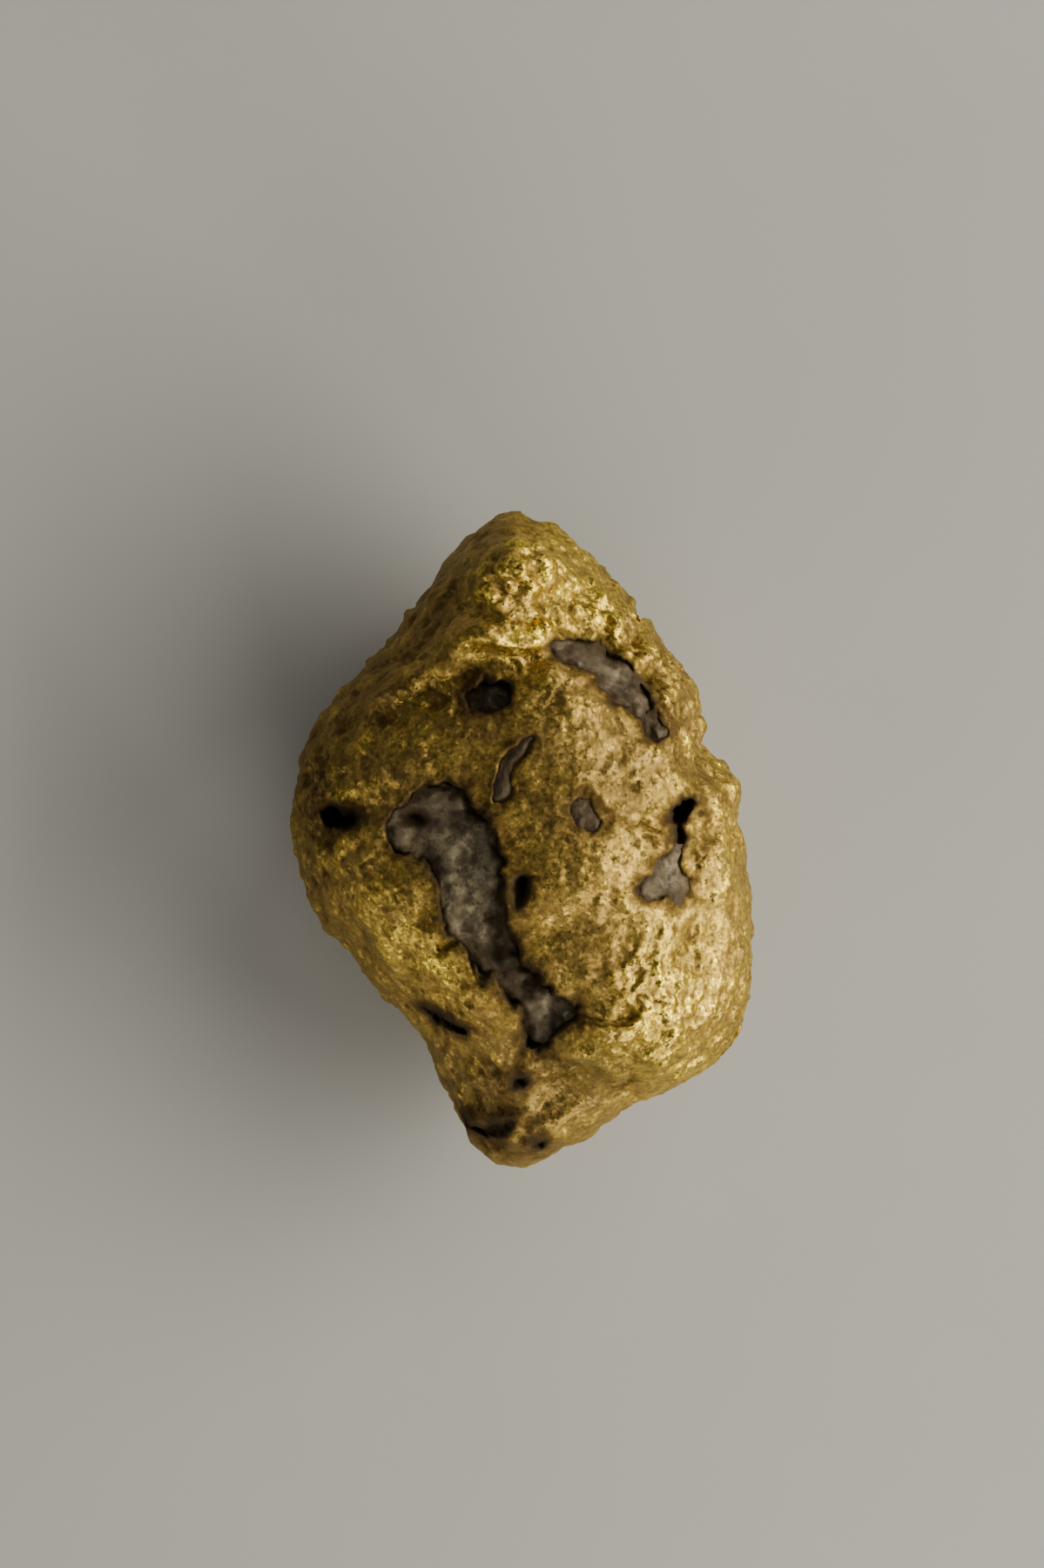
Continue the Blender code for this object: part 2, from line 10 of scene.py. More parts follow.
import bpy
import numpy as np
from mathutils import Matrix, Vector


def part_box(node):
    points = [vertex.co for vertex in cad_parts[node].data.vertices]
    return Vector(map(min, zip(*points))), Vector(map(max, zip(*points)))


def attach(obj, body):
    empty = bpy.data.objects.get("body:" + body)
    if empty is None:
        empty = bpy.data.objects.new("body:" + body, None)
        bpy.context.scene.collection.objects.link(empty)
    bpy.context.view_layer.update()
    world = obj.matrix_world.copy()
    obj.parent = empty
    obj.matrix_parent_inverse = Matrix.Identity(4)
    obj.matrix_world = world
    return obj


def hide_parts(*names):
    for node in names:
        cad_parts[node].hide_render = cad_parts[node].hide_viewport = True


bl_info = {
    "name": "Gold nugget",
    "version": (1, 0, 0),
    "blender": (4, 5, 0),
    "location": "3D View > Sidebar > Nugget",
    "description": "Makes a nugget of native gold with quartz in its hollows, and the stage it lies on",
    "category": "Object",
}

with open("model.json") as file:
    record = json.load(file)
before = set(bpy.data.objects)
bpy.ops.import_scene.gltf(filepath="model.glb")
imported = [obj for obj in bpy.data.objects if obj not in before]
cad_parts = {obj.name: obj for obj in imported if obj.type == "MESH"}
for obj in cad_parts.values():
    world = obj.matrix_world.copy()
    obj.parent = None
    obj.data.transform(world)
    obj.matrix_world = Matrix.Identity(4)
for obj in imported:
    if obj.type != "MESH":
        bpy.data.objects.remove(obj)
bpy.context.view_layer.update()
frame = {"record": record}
MM = 0.001
BODY = "root"

# The nugget's form, as in the solids

RIM_HEIGHT = 4.6  # where the widest section lies above the rest flat
FRONT_RISE = 5.0  # crest of the front above the rim
BACK_REACH = 5.2  # how far the back would reach below the rim, before the rest flat is cut
DOME_EXCESS = 0.5  # how far each dome would stand above the flanks that cut it
FRONT_SQUARENESS = (2.8, 0.6, 0.3)  # power of the front dome: its mean, its swing round the nugget, and phase
SQUARE_TIP = (1.30, 0.45, 2.2)  # where round it and over how wide a turn the dome is squarer, and by how much
BACK_SQUARENESS = 2.4
RIM_WAVER = [(0.35, 1, -0.4), (0.20, 2, 1.0)]  # waves of the rim's height: height, count round, phase
EDGE_BLEND = 0.6  # rounding where two flanks meet

OUTLINE = [
    (-0.3, 11.0), (0.8, 10.7), (2.3, 9.6), (3.7, 8.2), (4.6, 7.0), (5.5, 5.7), (5.9, 4.9), (6.0, 3.8),
    (6.3, 2.9), (7.1, 2.2), (7.4, 1.4), (7.3, 0.6), (7.5, -0.4), (7.7, -1.8), (7.8, -3.6), (7.6, -5.6),
    (7.1, -6.9), (5.8, -8.0), (4.8, -8.6), (3.8, -8.9), (2.7, -9.7), (1.5, -10.4), (0.5, -10.9),
    (-0.8, -11.0), (-1.6, -10.4), (-2.3, -9.1), (-2.9, -8.0), (-3.2, -6.9), (-3.8, -6.2), (-5.2, -4.8),
    (-6.2, -3.4), (-6.9, -2.7), (-7.3, -1.8), (-7.6, -0.5), (-7.8, 1.2), (-7.4, 2.9), (-6.6, 4.3),
    (-5.4, 5.7), (-4.0, 7.3), (-3.3, 8.4), (-2.4, 9.6), (-1.4, 10.6),
]
# Small knobs and notches of the outline: direction and half width in degrees, and height.
OUTLINE_KNOBS = [
    (62.0, 1.6, -0.30), (64.5, 1.4, 0.12), (31.0, 2.5, 0.10), (13.5, 3.0, 0.10), (6.0, 2.5, -0.12),
    (-2.5, 2.5, 0.10), (-8.0, 2.0, -0.12), (117.0, 1.2, 0.15), (-155.0, 4.0, 0.08),
]
KNOB_REACH = 0.96  # share of the way out from which a knob starts to show
OUTLINE_EASE = 22.0  # degrees over which the inner ground averages the outline
EASE_SAMPLES = 9
OUTLINE_SHOWS = (0.45, 0.95)  # shares of the way out between which the ground takes on the outline's turns
# Flanks: direction in degrees, distance from the middle at the crest's height, and slope.
FRONT_FLANKS = [
    (143, 6.25, 2.00), (205, 4.6, 0.85), (232, 5.2, 1.10), (275, 5.5, 0.58), (-25, 5.0, 0.62),
    (8, 4.8, 0.60), (42, 5.2, 0.75), (66, 6.2, 0.60),
]
BACK_FLANKS = [(95, 5.0, 0.70), (165, 3.6, 0.85), (255, 5.2, 0.65), (325, 4.0, 0.85), (40, 4.2, 0.80)]
# Lumps and dips of the front: centre, radii, turn in degrees, and height.
FRONT_LUMPS = [
    ((1.7, -0.6), (2.5, 4.6), 6, 0.62), ((4.5, -4.9), (2.3, 2.6), 10, 0.85),
    ((2.9, -6.3), (1.6, 1.0), 12, 0.42), ((1.6, -8.1), (1.7, 0.7), 20, -0.45),
    ((4.2, -7.4), (1.6, 0.9), 20, 0.45), ((1.2, 6.6), (0.9, 0.7), 0, -0.32),
    ((-4.4, -2.9), (1.9, 2.4), 35, 0.55), ((-4.0, 3.0), (2.4, 1.4), 35, 0.40),
    ((-0.3, 8.9), (1.5, 1.5), -35, 0.75), ((-1.5, 6.8), (1.4, 0.6), 12, 0.45),
    ((5.0, 4.9), (0.8, 1.2), 35, 0.35), ((6.5, -0.3), (0.8, 0.9), 0, 0.35),
    ((6.8, 1.7), (0.6, 0.8), 0, 0.25), ((4.9, 3.0), (1.6, 1.5), 0, 0.45), ((-0.8, -9.6), (1.1, 0.9), 0, 0.35),
    ((3.1, -3.7), (0.7, 1.7), 10, -0.12), ((0.4, 3.6), (1.6, 0.9), 0, 0.20),
    ((-1.5, 7.7), (1.1, 0.7), 25, -0.45), ((-2.6, 4.9), (1.5, 0.55), 30, -0.12),
    ((-0.5, 9.3), (0.6, 0.5), -30, 0.25), ((6.1, -2.6), (0.7, 1.2), 0, -0.25),
]
# Steps of the front: a line with the high side on its left, the rise, and how far the height carries.
LEDGES = [
    ([(-5.6, 4.0), (-3.8, 5.1), (-1.9, 5.7), (-0.9, 6.5), (-0.3, 6.2), (1.2, 6.5), (2.6, 7.2)], 0.65, 1.7),
    ([(-2.0, 8.2), (-1.2, 8.4), (0.4, 8.2), (1.6, 8.7)], 0.30, 1.0),
    ([(0.3, 10.5), (-0.3, 9.8), (-1.0, 9.3), (-1.5, 8.8), (-1.7, 8.0)], 0.50, 1.7),
    ([(4.6, -5.4), (3.2, -5.6), (2.0, -5.7), (1.2, -6.4)], 0.22, 0.9),
]
LEDGE_SOFTNESS = 0.34  # half the width over which a step rises
LEDGE_ENDS = (0.15, 0.80)  # shares of its length between which a step has its full height
LUMPS_END = 0.86  # share of the way out to the rim from which lumps and steps fade out
WANDER = [(2.4, 0.28), (0.8, 0.14)]  # how forms stray from the places given, as wavelength and distance
RELIEF = [(3.6, 0.26), (1.7, 0.13), (0.95, 0.06)]  # soft lumps all over, as wavelength and height
RIM_RELIEF = 0.3  # share of their height that the lumps keep at the rim
RIM_BAND = (0.05, 0.45)  # rise of a direction out of the rim's plane, over which they regain the rest

# Hollows as places along a spine with the half width there.
MAIN_HOLLOW = [
    (-3.85, 0.35, 0.75), (-2.8, 0.45, 1.35), (-2.05, -0.3, 1.25), (-1.85, -1.3, 1.15), (-1.75, -2.3, 1.15),
    (-1.15, -3.1, 0.95), (-0.75, -3.9, 0.75), (-0.3, -4.5, 0.65), (0.25, -5.0, 0.65), (0.75, -5.6, 0.85),
    (0.5, -6.35, 0.45),
]
UPPER_HOLLOW = [
    (1.35, 6.35, 0.38), (2.1, 6.1, 0.58), (2.85, 5.8, 0.70), (3.3, 5.2, 0.50), (3.65, 4.65, 0.38),
    (4.15, 4.1, 0.32), (4.6, 3.65, 0.18),
]
RIGHT_HOLLOW = [(5.15, -0.5, 0.35), (4.95, -1.1, 0.60), (4.75, -1.55, 0.70), (4.25, -1.85, 0.38)]
PIT_HOLLOW = [(-1.45, 4.5, 0.52), (-1.0, 4.6, 0.57)]
SEAM_HOLLOW = [(0.05, 3.0, 0.20), (-0.4, 2.55, 0.32), (-0.7, 2.0, 0.20), (-0.85, 1.4, 0.32)]
SPECK_HOLLOW = [(2.0, 0.85, 0.33), (2.45, 0.8, 0.30)]
# Each quartz piece with its hollow, the hollow's depth, how far the quartz's crown lies below the rim, and
# how much further its edge drops.
QUARTZ = {
    "quartz_main": (MAIN_HOLLOW, 1.75, 0.40, 0.10),
    "quartz_upper_right": (UPPER_HOLLOW, 1.15, 0.20, 0.10),
    "quartz_right": (RIGHT_HOLLOW, 1.10, 0.10, 0.05),
    "quartz_pit": (PIT_HOLLOW, 1.10, 0.45, 0.05),
    "quartz_seam": (SEAM_HOLLOW, 0.65, 0.04, 0.07),
    "quartz_speck": (SPECK_HOLLOW, 0.65, 0.02, 0.10),
}
# How strongly the dark crust, partly painted shade, shows round each of them.
CRUSTED_AND_SHADED = {"quartz_seam": 0.5, "quartz_speck": 0.4, "quartz_right": 0.5}
# Holes, pits and slits that hold no quartz: places along the spine with the half width there, and depth.
HOLES = [
    ([(5.45, 1.15, 0.38), (5.45, 0.95, 0.42)], 1.5),
    ([(5.4, 0.9, 0.2), (5.2, 0.0, 0.24)], 0.6),
    ([(-6.5, 1.1, 0.38), (-6.05, 0.8, 0.44)], 1.0),
    ([(0.0, -1.5, 0.3), (0.1, -2.1, 0.28)], 0.5),
    ([(-1.8, -9.35, 0.2), (-1.1, -9.5, 0.26), (-0.2, -9.35, 0.28)], 0.5),
    ([(-3.4, -5.5, 0.2), (-2.7, -6.05, 0.24), (-2.2, -6.4, 0.2)], 0.5),
    ([(0.7, -10.0, 0.22), (0.9, -9.9, 0.22)], 0.5),
    ([(-0.1, -7.85, 0.26), (0.1, -7.9, 0.24)], 0.45),
]

# What this script adds to that form

WALL_WIDTH = 0.34  # how far in from its edge a hollow takes to reach its floor, at most
WALL_SHARE = {"filled": 0.55, "open": 1.1}  # and at most this share of its greatest half width
CRUST_BAND = (-0.18, 0.06)  # distances inside a hollow's edge between which its dark crust, partly painted shade, comes in
HALO_BAND = (-0.55, -0.02)  # and those for the stain round it
STRAY_PER_HALF = 1.8  # share of the stray below that an edge has, for each millimetre of its half width
RAGGED = [(0.7, 0.15), (0.32, 0.12), (0.17, 0.07)]  # how a hollow's edge strays, as wavelength and distance
CRUMPLE = [(0.85, 0.15), (0.42, 0.085), (0.22, 0.035)]  # crumpled facets, as cell size and height
GRAIN = [(0.21, 0.011)]  # finest grain of the mesh, as wavelength and height
FOLD_SPACING = (0.62, 2.3, 0.9)  # wavelengths of the folds along X, Y and Z
FOLD_STRAY = (1.4, 0.35)  # how they wind, as wavelength and share of their spacing
FOLD_ROUNDING = 0.05
FOLD_HEIGHT = 0.065
TILT = 0.8  # steepest slope of a crumpled facet, in cell heights to a cell
BLEND_SHARPNESS = 11.0  # how quickly one crumpled facet gives way to the next
PIT_CELL = 0.95  # one round pit for each cell of this size
PIT_SHARE = 0.30  # share of the cells that have one
PIT_RADII = (0.09, 0.11)  # its least radius and how much more that may be, as shares of the cell
PIT_DEPTH = 0.13
PITTED_CRUST = (0.2, 0.7)  # crumpling between which the pits come in
FLOOR_CALM = 0.6  # share of the pits' depth that is lost on the floor of a hollow
FLOOR_DEPTH = 0.5  # and the depth at which a hollow has lost all of that
FRONT_BAND = (-0.15, 0.10)  # rise of a direction between which the back's marks give way to the front's
BACK_MARKS = {"crust": 0.35, "stain": 0.35, "tarnish": 0.30}  # even weights of them on the back
RIM_CRUST = 0.12  # more crumpling towards the rim
RIM_CRUST_BAND = (0.55, 0.15)  # and the rise of a direction between which it comes in
LOW_FACETS = (0.0, 0.09)  # depths of a facet between which it counts as a crevice
DEEP_CREASES = (0.03, 0.12)  # and those of a crease
HIGH_FACETS = (0.02, 0.12)  # heights of a facet between which it is worn

# Where the surface is crumpled: centre, radii, turn in degrees, and weight. CALM is the weight elsewhere.
CALM = 0.22
CRUSTS = [
    ((1.6, 7.6), (2.9, 1.5), -35, 0.75),
    ((4.6, 4.8), (1.2, 2.6), 35, 0.85),
    ((-0.6, 8.6), (1.0, 1.0), 0, 0.5),
    ((-6.3, 0.6), (1.3, 2.6), 0, 0.45),
    ((6.3, 0.8), (1.0, 2.2), 0, 0.55),
    ((-2.6, 4.9), (2.0, 0.8), 30, 0.45),
    ((4.9, -5.6), (2.4, 2.4), 0, 0.55),
    ((-3.0, -4.6), (1.6, 1.2), -45, 0.35),
    ((-1.0, -9.0), (1.8, 1.4), 0, 0.40),
    ((0.3, -7.2), (1.6, 0.5), 10, 0.35),
    ((0.6, 9.9), (1.5, 1.0), -40, 0.40),
    ((-0.2, 6.75), (1.3, 0.4), 8, -0.30),
    ((-4.8, 5.6), (3.6, 1.5), 50, 0.30),
]
FOLDS = [((5.6, -4.6), (1.9, 3.0), 0, 1.0), ((6.6, -1.0), (0.9, 1.8), 0, 0.5)]
# Narrow creases too small for the solids: a line of places, half width and depth.
CREASES = [
    ([(-2.9, -3.4), (-2.2, -3.1)], 0.10, 0.22),
    ([(3.0, 0.75), (3.6, 0.55), (4.1, 0.7), (4.6, 0.35)], 0.09, 0.14),
    ([(-0.45, 6.15), (-0.25, 5.5)], 0.07, 0.16),
    ([(-0.1, 6.0), (0.7, 5.9), (1.3, 6.1)], 0.09, 0.18),
    ([(0.2, -1.4), (0.9, -1.25)], 0.08, 0.10),
    ([(1.6, -5.6), (2.6, -5.8), (3.4, -5.6), (4.4, -5.5)], 0.11, 0.12),
    ([(3.0, -8.3), (3.5, -7.7)], 0.14, 0.24),
    ([(-1.7, -3.9), (-1.4, -4.5)], 0.07, 0.12),
]
# Brown stain, which is painted shade at the left edge and the foot; dull green-grey tarnish, much of it
# painted shade on the flanks, under the cap's ledge and on the foot; and bright wear, much of it a painted
# highlight where the key light falls: centre, radii, turn in degrees, and weight.
STAINS_AND_SHADE = [
    ((-7.0, -0.5), (0.8, 3.0), 0, 0.35),
    ((-1.7, -9.0), (1.4, 2.2), 15, 0.35),
    ((-6.7, 2.1), (0.9, 1.2), 0, 0.9),
    ((-6.6, 0.9), (1.0, 0.8), 0, 0.7),
    ((-2.0, 8.4), (1.5, 0.7), 40, 0.45),
    ((1.7, 8.6), (0.8, 0.6), 0, 0.45),
    ((2.7, 7.3), (0.5, 0.4), 0, 0.6),
    ((4.9, 4.4), (0.8, 1.6), 35, 0.75),
    ((-0.3, 2.3), (0.8, 1.3), 0, 0.75),
    ((2.2, 0.8), (1.0, 0.8), 0, 0.75),
    ((0.1, -2.2), (0.6, 1.0), 0, 0.7),
    ((2.8, -3.4), (0.8, 2.6), 10, 0.35),
    ((3.5, 2.7), (1.9, 1.8), 0, 0.35),
    ((6.2, -4.0), (1.2, 2.2), 0, 0.22),
    ((-0.5, -7.9), (1.2, 0.7), 0, 0.55),
    ((3.1, -8.1), (0.6, 0.5), 30, 0.8),
    ((-5.2, -2.4), (1.2, 0.6), 35, 0.40),
    ((6.0, -2.4), (0.5, 1.4), 0, 0.45),
    ((4.2, 0.6), (1.1, 0.35), -10, 0.45),
]
# Green-grey tarnish, much of it painted shade: the upper-left flanks, the band under the cap's ledge, the
# left edge and the foot are darkened where they face away from the key light.
TARNISH_AND_SHADE = [
    ((-5.2, 5.2), (4.6, 1.3), 50, 0.95),
    ((-2.6, 9.0), (2.6, 0.9), 52, 0.95),
    ((-1.5, 10.3), (0.9, 0.9), 0, 0.7),
    ((-2.7, 4.9), (1.9, 0.45), 28, 0.5),
    ((-0.9, 5.9), (0.8, 0.4), 30, 0.4),
    ((-7.2, 0.0), (0.8, 3.5), 0, 0.8),
    ((-3.6, -7.0), (0.9, 4.6), 38, 0.55),
    ((1.5, -7.9), (2.2, 0.9), 20, 1.0),
    ((2.4, 2.8), (2.0, 2.4), 0, 0.25),
    ((-5.7, -3.4), (1.2, 1.2), 0, 0.45),
    ((1.9, -3.5), (1.4, 3.0), 10, 0.30),
    ((5.7, -1.6), (0.5, 1.6), 10, 0.3),
    ((-0.6, -9.2), (2.6, 2.3), 0, 1.2),
    ((3.7, 2.3), (1.9, 2.3), 0, 0.55),
]
# Bright rubbed gold, most of it a painted highlight where the key light falls: the bulge, the cap's right
# face and tip, the shelf below it and the lower right rim.
WEAR_AND_HIGHLIGHTS = [
    ((5.2, -4.6), (2.1, 2.8), 0, 0.50),
    ((1.9, 8.2), (2.2, 1.5), -35, 0.8),
    ((1.1, 9.8), (1.3, 0.9), -35, 0.9),
    ((-0.4, 6.7), (1.9, 0.5), 12, 1.0),
    ((5.0, 1.0), (1.2, 1.6), 0, 0.30),
    ((3.6, -6.8), (2.2, 0.9), 15, 1.0),
    ((6.9, 0.4), (0.5, 2.0), 0, 0.7),
    ((-2.9, -4.2), (1.4, 0.7), -45, 0.5),
    ((-4.4, -3.0), (1.6, 1.4), -30, 0.5),
    ((5.7, -7.5), (1.8, 0.5), 35, 1.0),
    ((-3.2, 4.3), (1.5, 0.5), 35, 0.4),
]
# Dips, which are also painted darker as shade, pale streaks and stains of the quartz: centre, radii, turn in
# degrees, and depth or weight.
QUARTZ_DIPS = [
    ((-3.5, 0.75), (0.55, 0.35), 0, 0.50),
    ((-0.75, -2.2), (0.35, 1.2), -8, 0.40),
    ((0.2, -4.6), (0.9, 1.4), -35, 0.20),
    ((0.0, -6.2), (0.4, 0.6), 0, 0.25),
]
PALE_PATCHES = [
    ((-1.9, -0.6), (1.0, 1.6), -15, 1.0),
    ((0.7, -5.2), (0.16, 0.85), 5, 1.0),
    ((-1.6, -2.2), (0.6, 0.9), 0, 0.6),
    ((5.1, -0.9), (0.4, 0.5), 0, 0.35),
    ((3.2, 5.4), (0.6, 0.3), -40, 0.5),
]
QUARTZ_STAINS = [
    ((2.25, 0.85), (0.9, 0.8), 0, 0.95),
    ((-0.5, 2.2), (0.8, 1.3), 0, 0.65),
    ((-0.1, -4.6), (1.0, 1.2), -30, 0.45),
    ((-1.0, -2.9), (0.5, 1.2), -20, 0.45),
    ((-2.6, 1.3), (1.6, 0.5), 0, 0.45),
    ((4.5, 3.8), (0.7, 0.5), -40, 0.60),
    ((3.2, 6.3), (1.9, 0.45), -20, 0.80),
    ((4.6, -1.8), (0.9, 0.45), 0, 0.45),
]
TUCK = 0.12  # how far the quartz runs on into the gold round it
EDGE_WIDTH = 0.35  # how far in from a hollow's edge the quartz starts to drop towards it
STAIN_AND_SHADE_WIDTH = (0.45, 0.5)  # how far in its dark edge reaches, at most, and as a share of the half width: partly iron stain, partly painted shade
SHADED_DIPS = (0.05, 0.35)  # depths of a dip between which painted shade darkens it
LOW_QUARTZ = (0.0, 0.12)  # depths of the quartz's own lumps between which it is darker
QUARTZ_LUMPS = [(0.95, 0.12), (0.42, 0.055), (0.2, 0.022)]  # its crumpled facets, as cell size and height
SLICES = 120  # sections of a quartz piece, and the points over the top and along the underside of each
ACROSS = 44
UNDER = 6
SCAN = 420  # places each way at which the hollow's edges are looked for
SCAN_ROOM = 2.5  # how far past its spine, in half widths

# Patches in the finishes: size in millimetres, the noise values between which they come in, and a seed.
GOLD_PATCHES = {
    "tone": (1.1, 0.38, 0.62, 1.0), "dim": (0.28, 0.42, 0.62, 2.0), "shine": (0.45, 0.36, 0.58, 3.0),
    "film": (0.8, 0.10, 0.55, 4.0), "creased": (0.35, 0.35, 0.60, 5.0), "rust": (0.33, 0.40, 0.62, 6.0),
    "ringed": (0.40, 0.30, 0.56, 7.0), "freckles": (0.17, 0.44, 0.60, 8.0), "matt": (0.5, 0.35, 0.65, 9.0),
    "glints": (0.14, 0.55, 0.63, 10.0),
}
QUARTZ_PATCHES = {
    "tone": (0.7, 0.35, 0.65, 11.0), "clouds": (0.45, 0.40, 0.62, 12.0), "flaws": (0.22, 0.56, 0.68, 13.0),
    "stain_and_shade": (0.4, 0.22, 0.50, 14.0), "matt": (0.3, 0.35, 0.65, 15.0), "sheen": (0.5, 0.40, 0.60, 16.0),
}
FLOOR_PATCHES = {"tone": (30.0, 0.3, 0.7, 21.0), "matt": (3.0, 0.3, 0.7, 22.0)}
# How much of each layer shows at the most, and how rough it is: for plain surfaces between two values.
GOLD_SHARES = {"dim": 0.55, "film": 0.85, "freckles": 0.80, "creased": 0.75, "brown": 0.85}
GOLD_ROUGHNESS = {"plain": (0.44, 0.58), "shine": 0.36, "glints": 0.20, "brown": 0.70}
CALM_GLINTS = 0.30  # how much of the glints shows where the gold isn't crumpled
UNMETALLED = {"brown": 0.45, "hollow": 0.9}  # how far stain and the dark crust, partly painted shade, hide the metal
QUARTZ_SHARES = {"dim": 0.62, "clouds": 0.12, "flaws": 0.7, "crevice": 0.4, "sheen": 0.25}
QUARTZ_ROUGHNESS = (0.42, 0.65)
FLOOR_DIM = 0.94
FLOOR_ROUGHNESS = (0.75, 0.85)
# Facets in the finishes: size in millimetres, and how far they tilt on calm gold and where it is crumpled.
GOLD_FACETS = [(0.26, 0.18, 0.44), (0.11, 0.30, 0.42)]
GOLD_GRAIN = (0.09, 0.5)  # size of the finest grain in millimetres, and the share of cell edges in it
QUARTZ_FACETS = [(0.30, 1.0), (0.13, 0.6)]  # on quartz, as a share of each kind's own tilt
QUARTZ_TILTS = {"grey_quartz": 0.18, "mauve_quartz": 0.20, "pale_quartz": 0.28, "dark_quartz": 0.16}
QUARTZ_GRAIN = (0.08, 0.4, 0.02)  # and with the grain's depth
FACET_STRAY = 0.8  # how far the edges of those facets wind, in sizes

GRID_LIFT = 0.3  # how much closer together the points are on the front than on the back
FLOOR_DROP = 0.005  # gap between the rest flat and the floor
FLOOR_POINTS = 9  # points along each side of the floor
# Each light's upright and level sides and its place, in metres.
LIGHTS = {
    "key": ((0.09, 0.36), (0.225, 0.0, 0.122)),
    "fill": ((0.12, 0.12), (0.085, -0.19, 0.085)),
    "low": ((0.06, 0.12), (-0.17, -0.16, 0.07)),
    "top": ((0.10, 0.12), (0.11, 0.16, 0.16)),
}
LIGHT_COLOUR = (1.0, 0.955, 0.70)


def smoothstep(low, high, value):
    """0 up to the low value and 1 from the high one, with an S-curve between. They may stand either way."""
    t = np.clip((value - low) / (high - low), 0.0, 1.0)
    return t * t * (3.0 - 2.0 * t)


def smooth_min(a, b, blend):
    """The lower of two heights, with the crease between them rounded over the blend length."""
    h = np.clip(0.5 + 0.5 * (b - a) / blend, 0.0, 1.0)
    return b + (a - b) * h - blend * h * (1.0 - h)


def lattice_random(ix, iy, iz, salt):
    """A repeatable number from 0 to 1 for each lattice corner."""
    h = ix * 374761393 + iy * 668265263 + iz * 1442695041 + salt * 974634777
    h = (h ^ (h >> 13)) & 0xFFFFFFFF
    h = (h * 1274126177) & 0xFFFFFFFF
    return ((h ^ (h >> 16)) & 0xFFFFFF) / float(0xFFFFFF)


def soft_noise(points, wavelength, salt):
    """Smooth noise from -1 to 1: random corner values blended across each lattice cell."""
    scaled = points / wavelength + 100.0
    cell = np.floor(scaled).astype(np.int64)
    f = scaled - cell
    u = f * f * f * (f * (f * 6.0 - 15.0) + 10.0)
    total = np.zeros(len(points))
    for corner in range(8):
        offset = np.array([corner & 1, (corner >> 1) & 1, (corner >> 2) & 1])
        weight = np.prod(np.where(offset == 1, u, 1.0 - u), axis=1)
        total += weight * lattice_random(*(cell + offset).T, salt)
    return 2.0 * total - 1.0


def neighbour_cells(points, size):
    """For each of the 27 lattice cells round every point: the cell, and the way to its scattered centre."""
    scaled = points / size + 100.0
    home = np.floor(scaled).astype(np.int64)
    for dx in (-1, 0, 1):
        for dy in (-1, 0, 1):
            for dz in (-1, 0, 1):
                cell = (home + (dx, dy, dz)).T
                centre = np.column_stack([cell[k] + lattice_random(*cell, 201 + k) for k in range(3)])
                yield cell, scaled - centre


def crumpled(points, size):
    """Crumpled facets from about -1 to 1: scattered centres each have a tilted plane of their own.

    A point's value is the mean of the planes of the centres near it, and a plane's share falls off as the
    exponential of the distance to its centre, so that the nearest one all but decides.
    """
    total, shares = np.zeros(len(points)), np.zeros(len(points))
    for cell, away in neighbour_cells(points, size):
        share = np.exp(-BLEND_SHARPNESS * np.linalg.norm(away, axis=1))
        tilt = np.column_stack([lattice_random(*cell, 211 + k) - 0.5 for k in range(3)])
        plane = lattice_random(*cell, 221) - 0.5 + 2.0 * TILT * np.sum(tilt * away, axis=1)
        total += share * plane
        shares += share
    return 2.0 * total / shares


def pitted(points, size, share):
    """0 between pits and up to 1 in them: a share of the scattered centres is each a small round pit."""
    depth = np.zeros(len(points))
    for cell, away in neighbour_cells(points, size):
        radius = PIT_RADII[0] + PIT_RADII[1] * lattice_random(*cell, 231)
        there = lattice_random(*cell, 232) < share
        depth = np.maximum(depth, there * np.exp(-((np.linalg.norm(away, axis=1) / radius) ** 2)))
    return depth


def outline_radius(angle):
    """Distance from the middle to the outline in each direction: a cubic through its points."""
    points = np.array(OUTLINE)
    at = np.arctan2(points[:, 1], points[:, 0])
    order = np.argsort(at)
    at, reach = at[order], np.hypot(points[:, 0], points[:, 1])[order]
    at = np.concatenate([at[-2:] - 2 * math.pi, at, at[:2] + 2 * math.pi])
    reach = np.concatenate([reach[-2:], reach, reach[:2]])
    slope = np.gradient(reach, at)
    i = np.clip(np.searchsorted(at, angle, side="right") - 1, 0, len(at) - 2)
    span = at[i + 1] - at[i]
    t = (angle - at[i]) / span
    return (
        (2 * t**3 - 3 * t**2 + 1) * reach[i]
        + (t**3 - 2 * t**2 + t) * span * slope[i]
        + (3 * t**2 - 2 * t**3) * reach[i + 1]
        + (t**3 - t**2) * span * slope[i + 1]
    )


def eased_radius(angle):
    """The outline's radius averaged over OUTLINE_EASE degrees to each side, for the ground inside it."""
    turns = np.radians(np.linspace(-OUTLINE_EASE, OUTLINE_EASE, EASE_SAMPLES))
    return np.mean([outline_radius(np.angle(np.exp(1j * (angle + turn)))) for turn in turns], axis=0)


def knob_height(angle):
    """How far the small knobs and notches move the outline in each direction."""
    height = np.zeros(angle.shape)
    for degrees, half_width, rise in OUTLINE_KNOBS:
        off = np.degrees(np.angle(np.exp(1j * (angle - math.radians(degrees)))))
        height += rise * np.exp(-((off / half_width) ** 2))
    return height


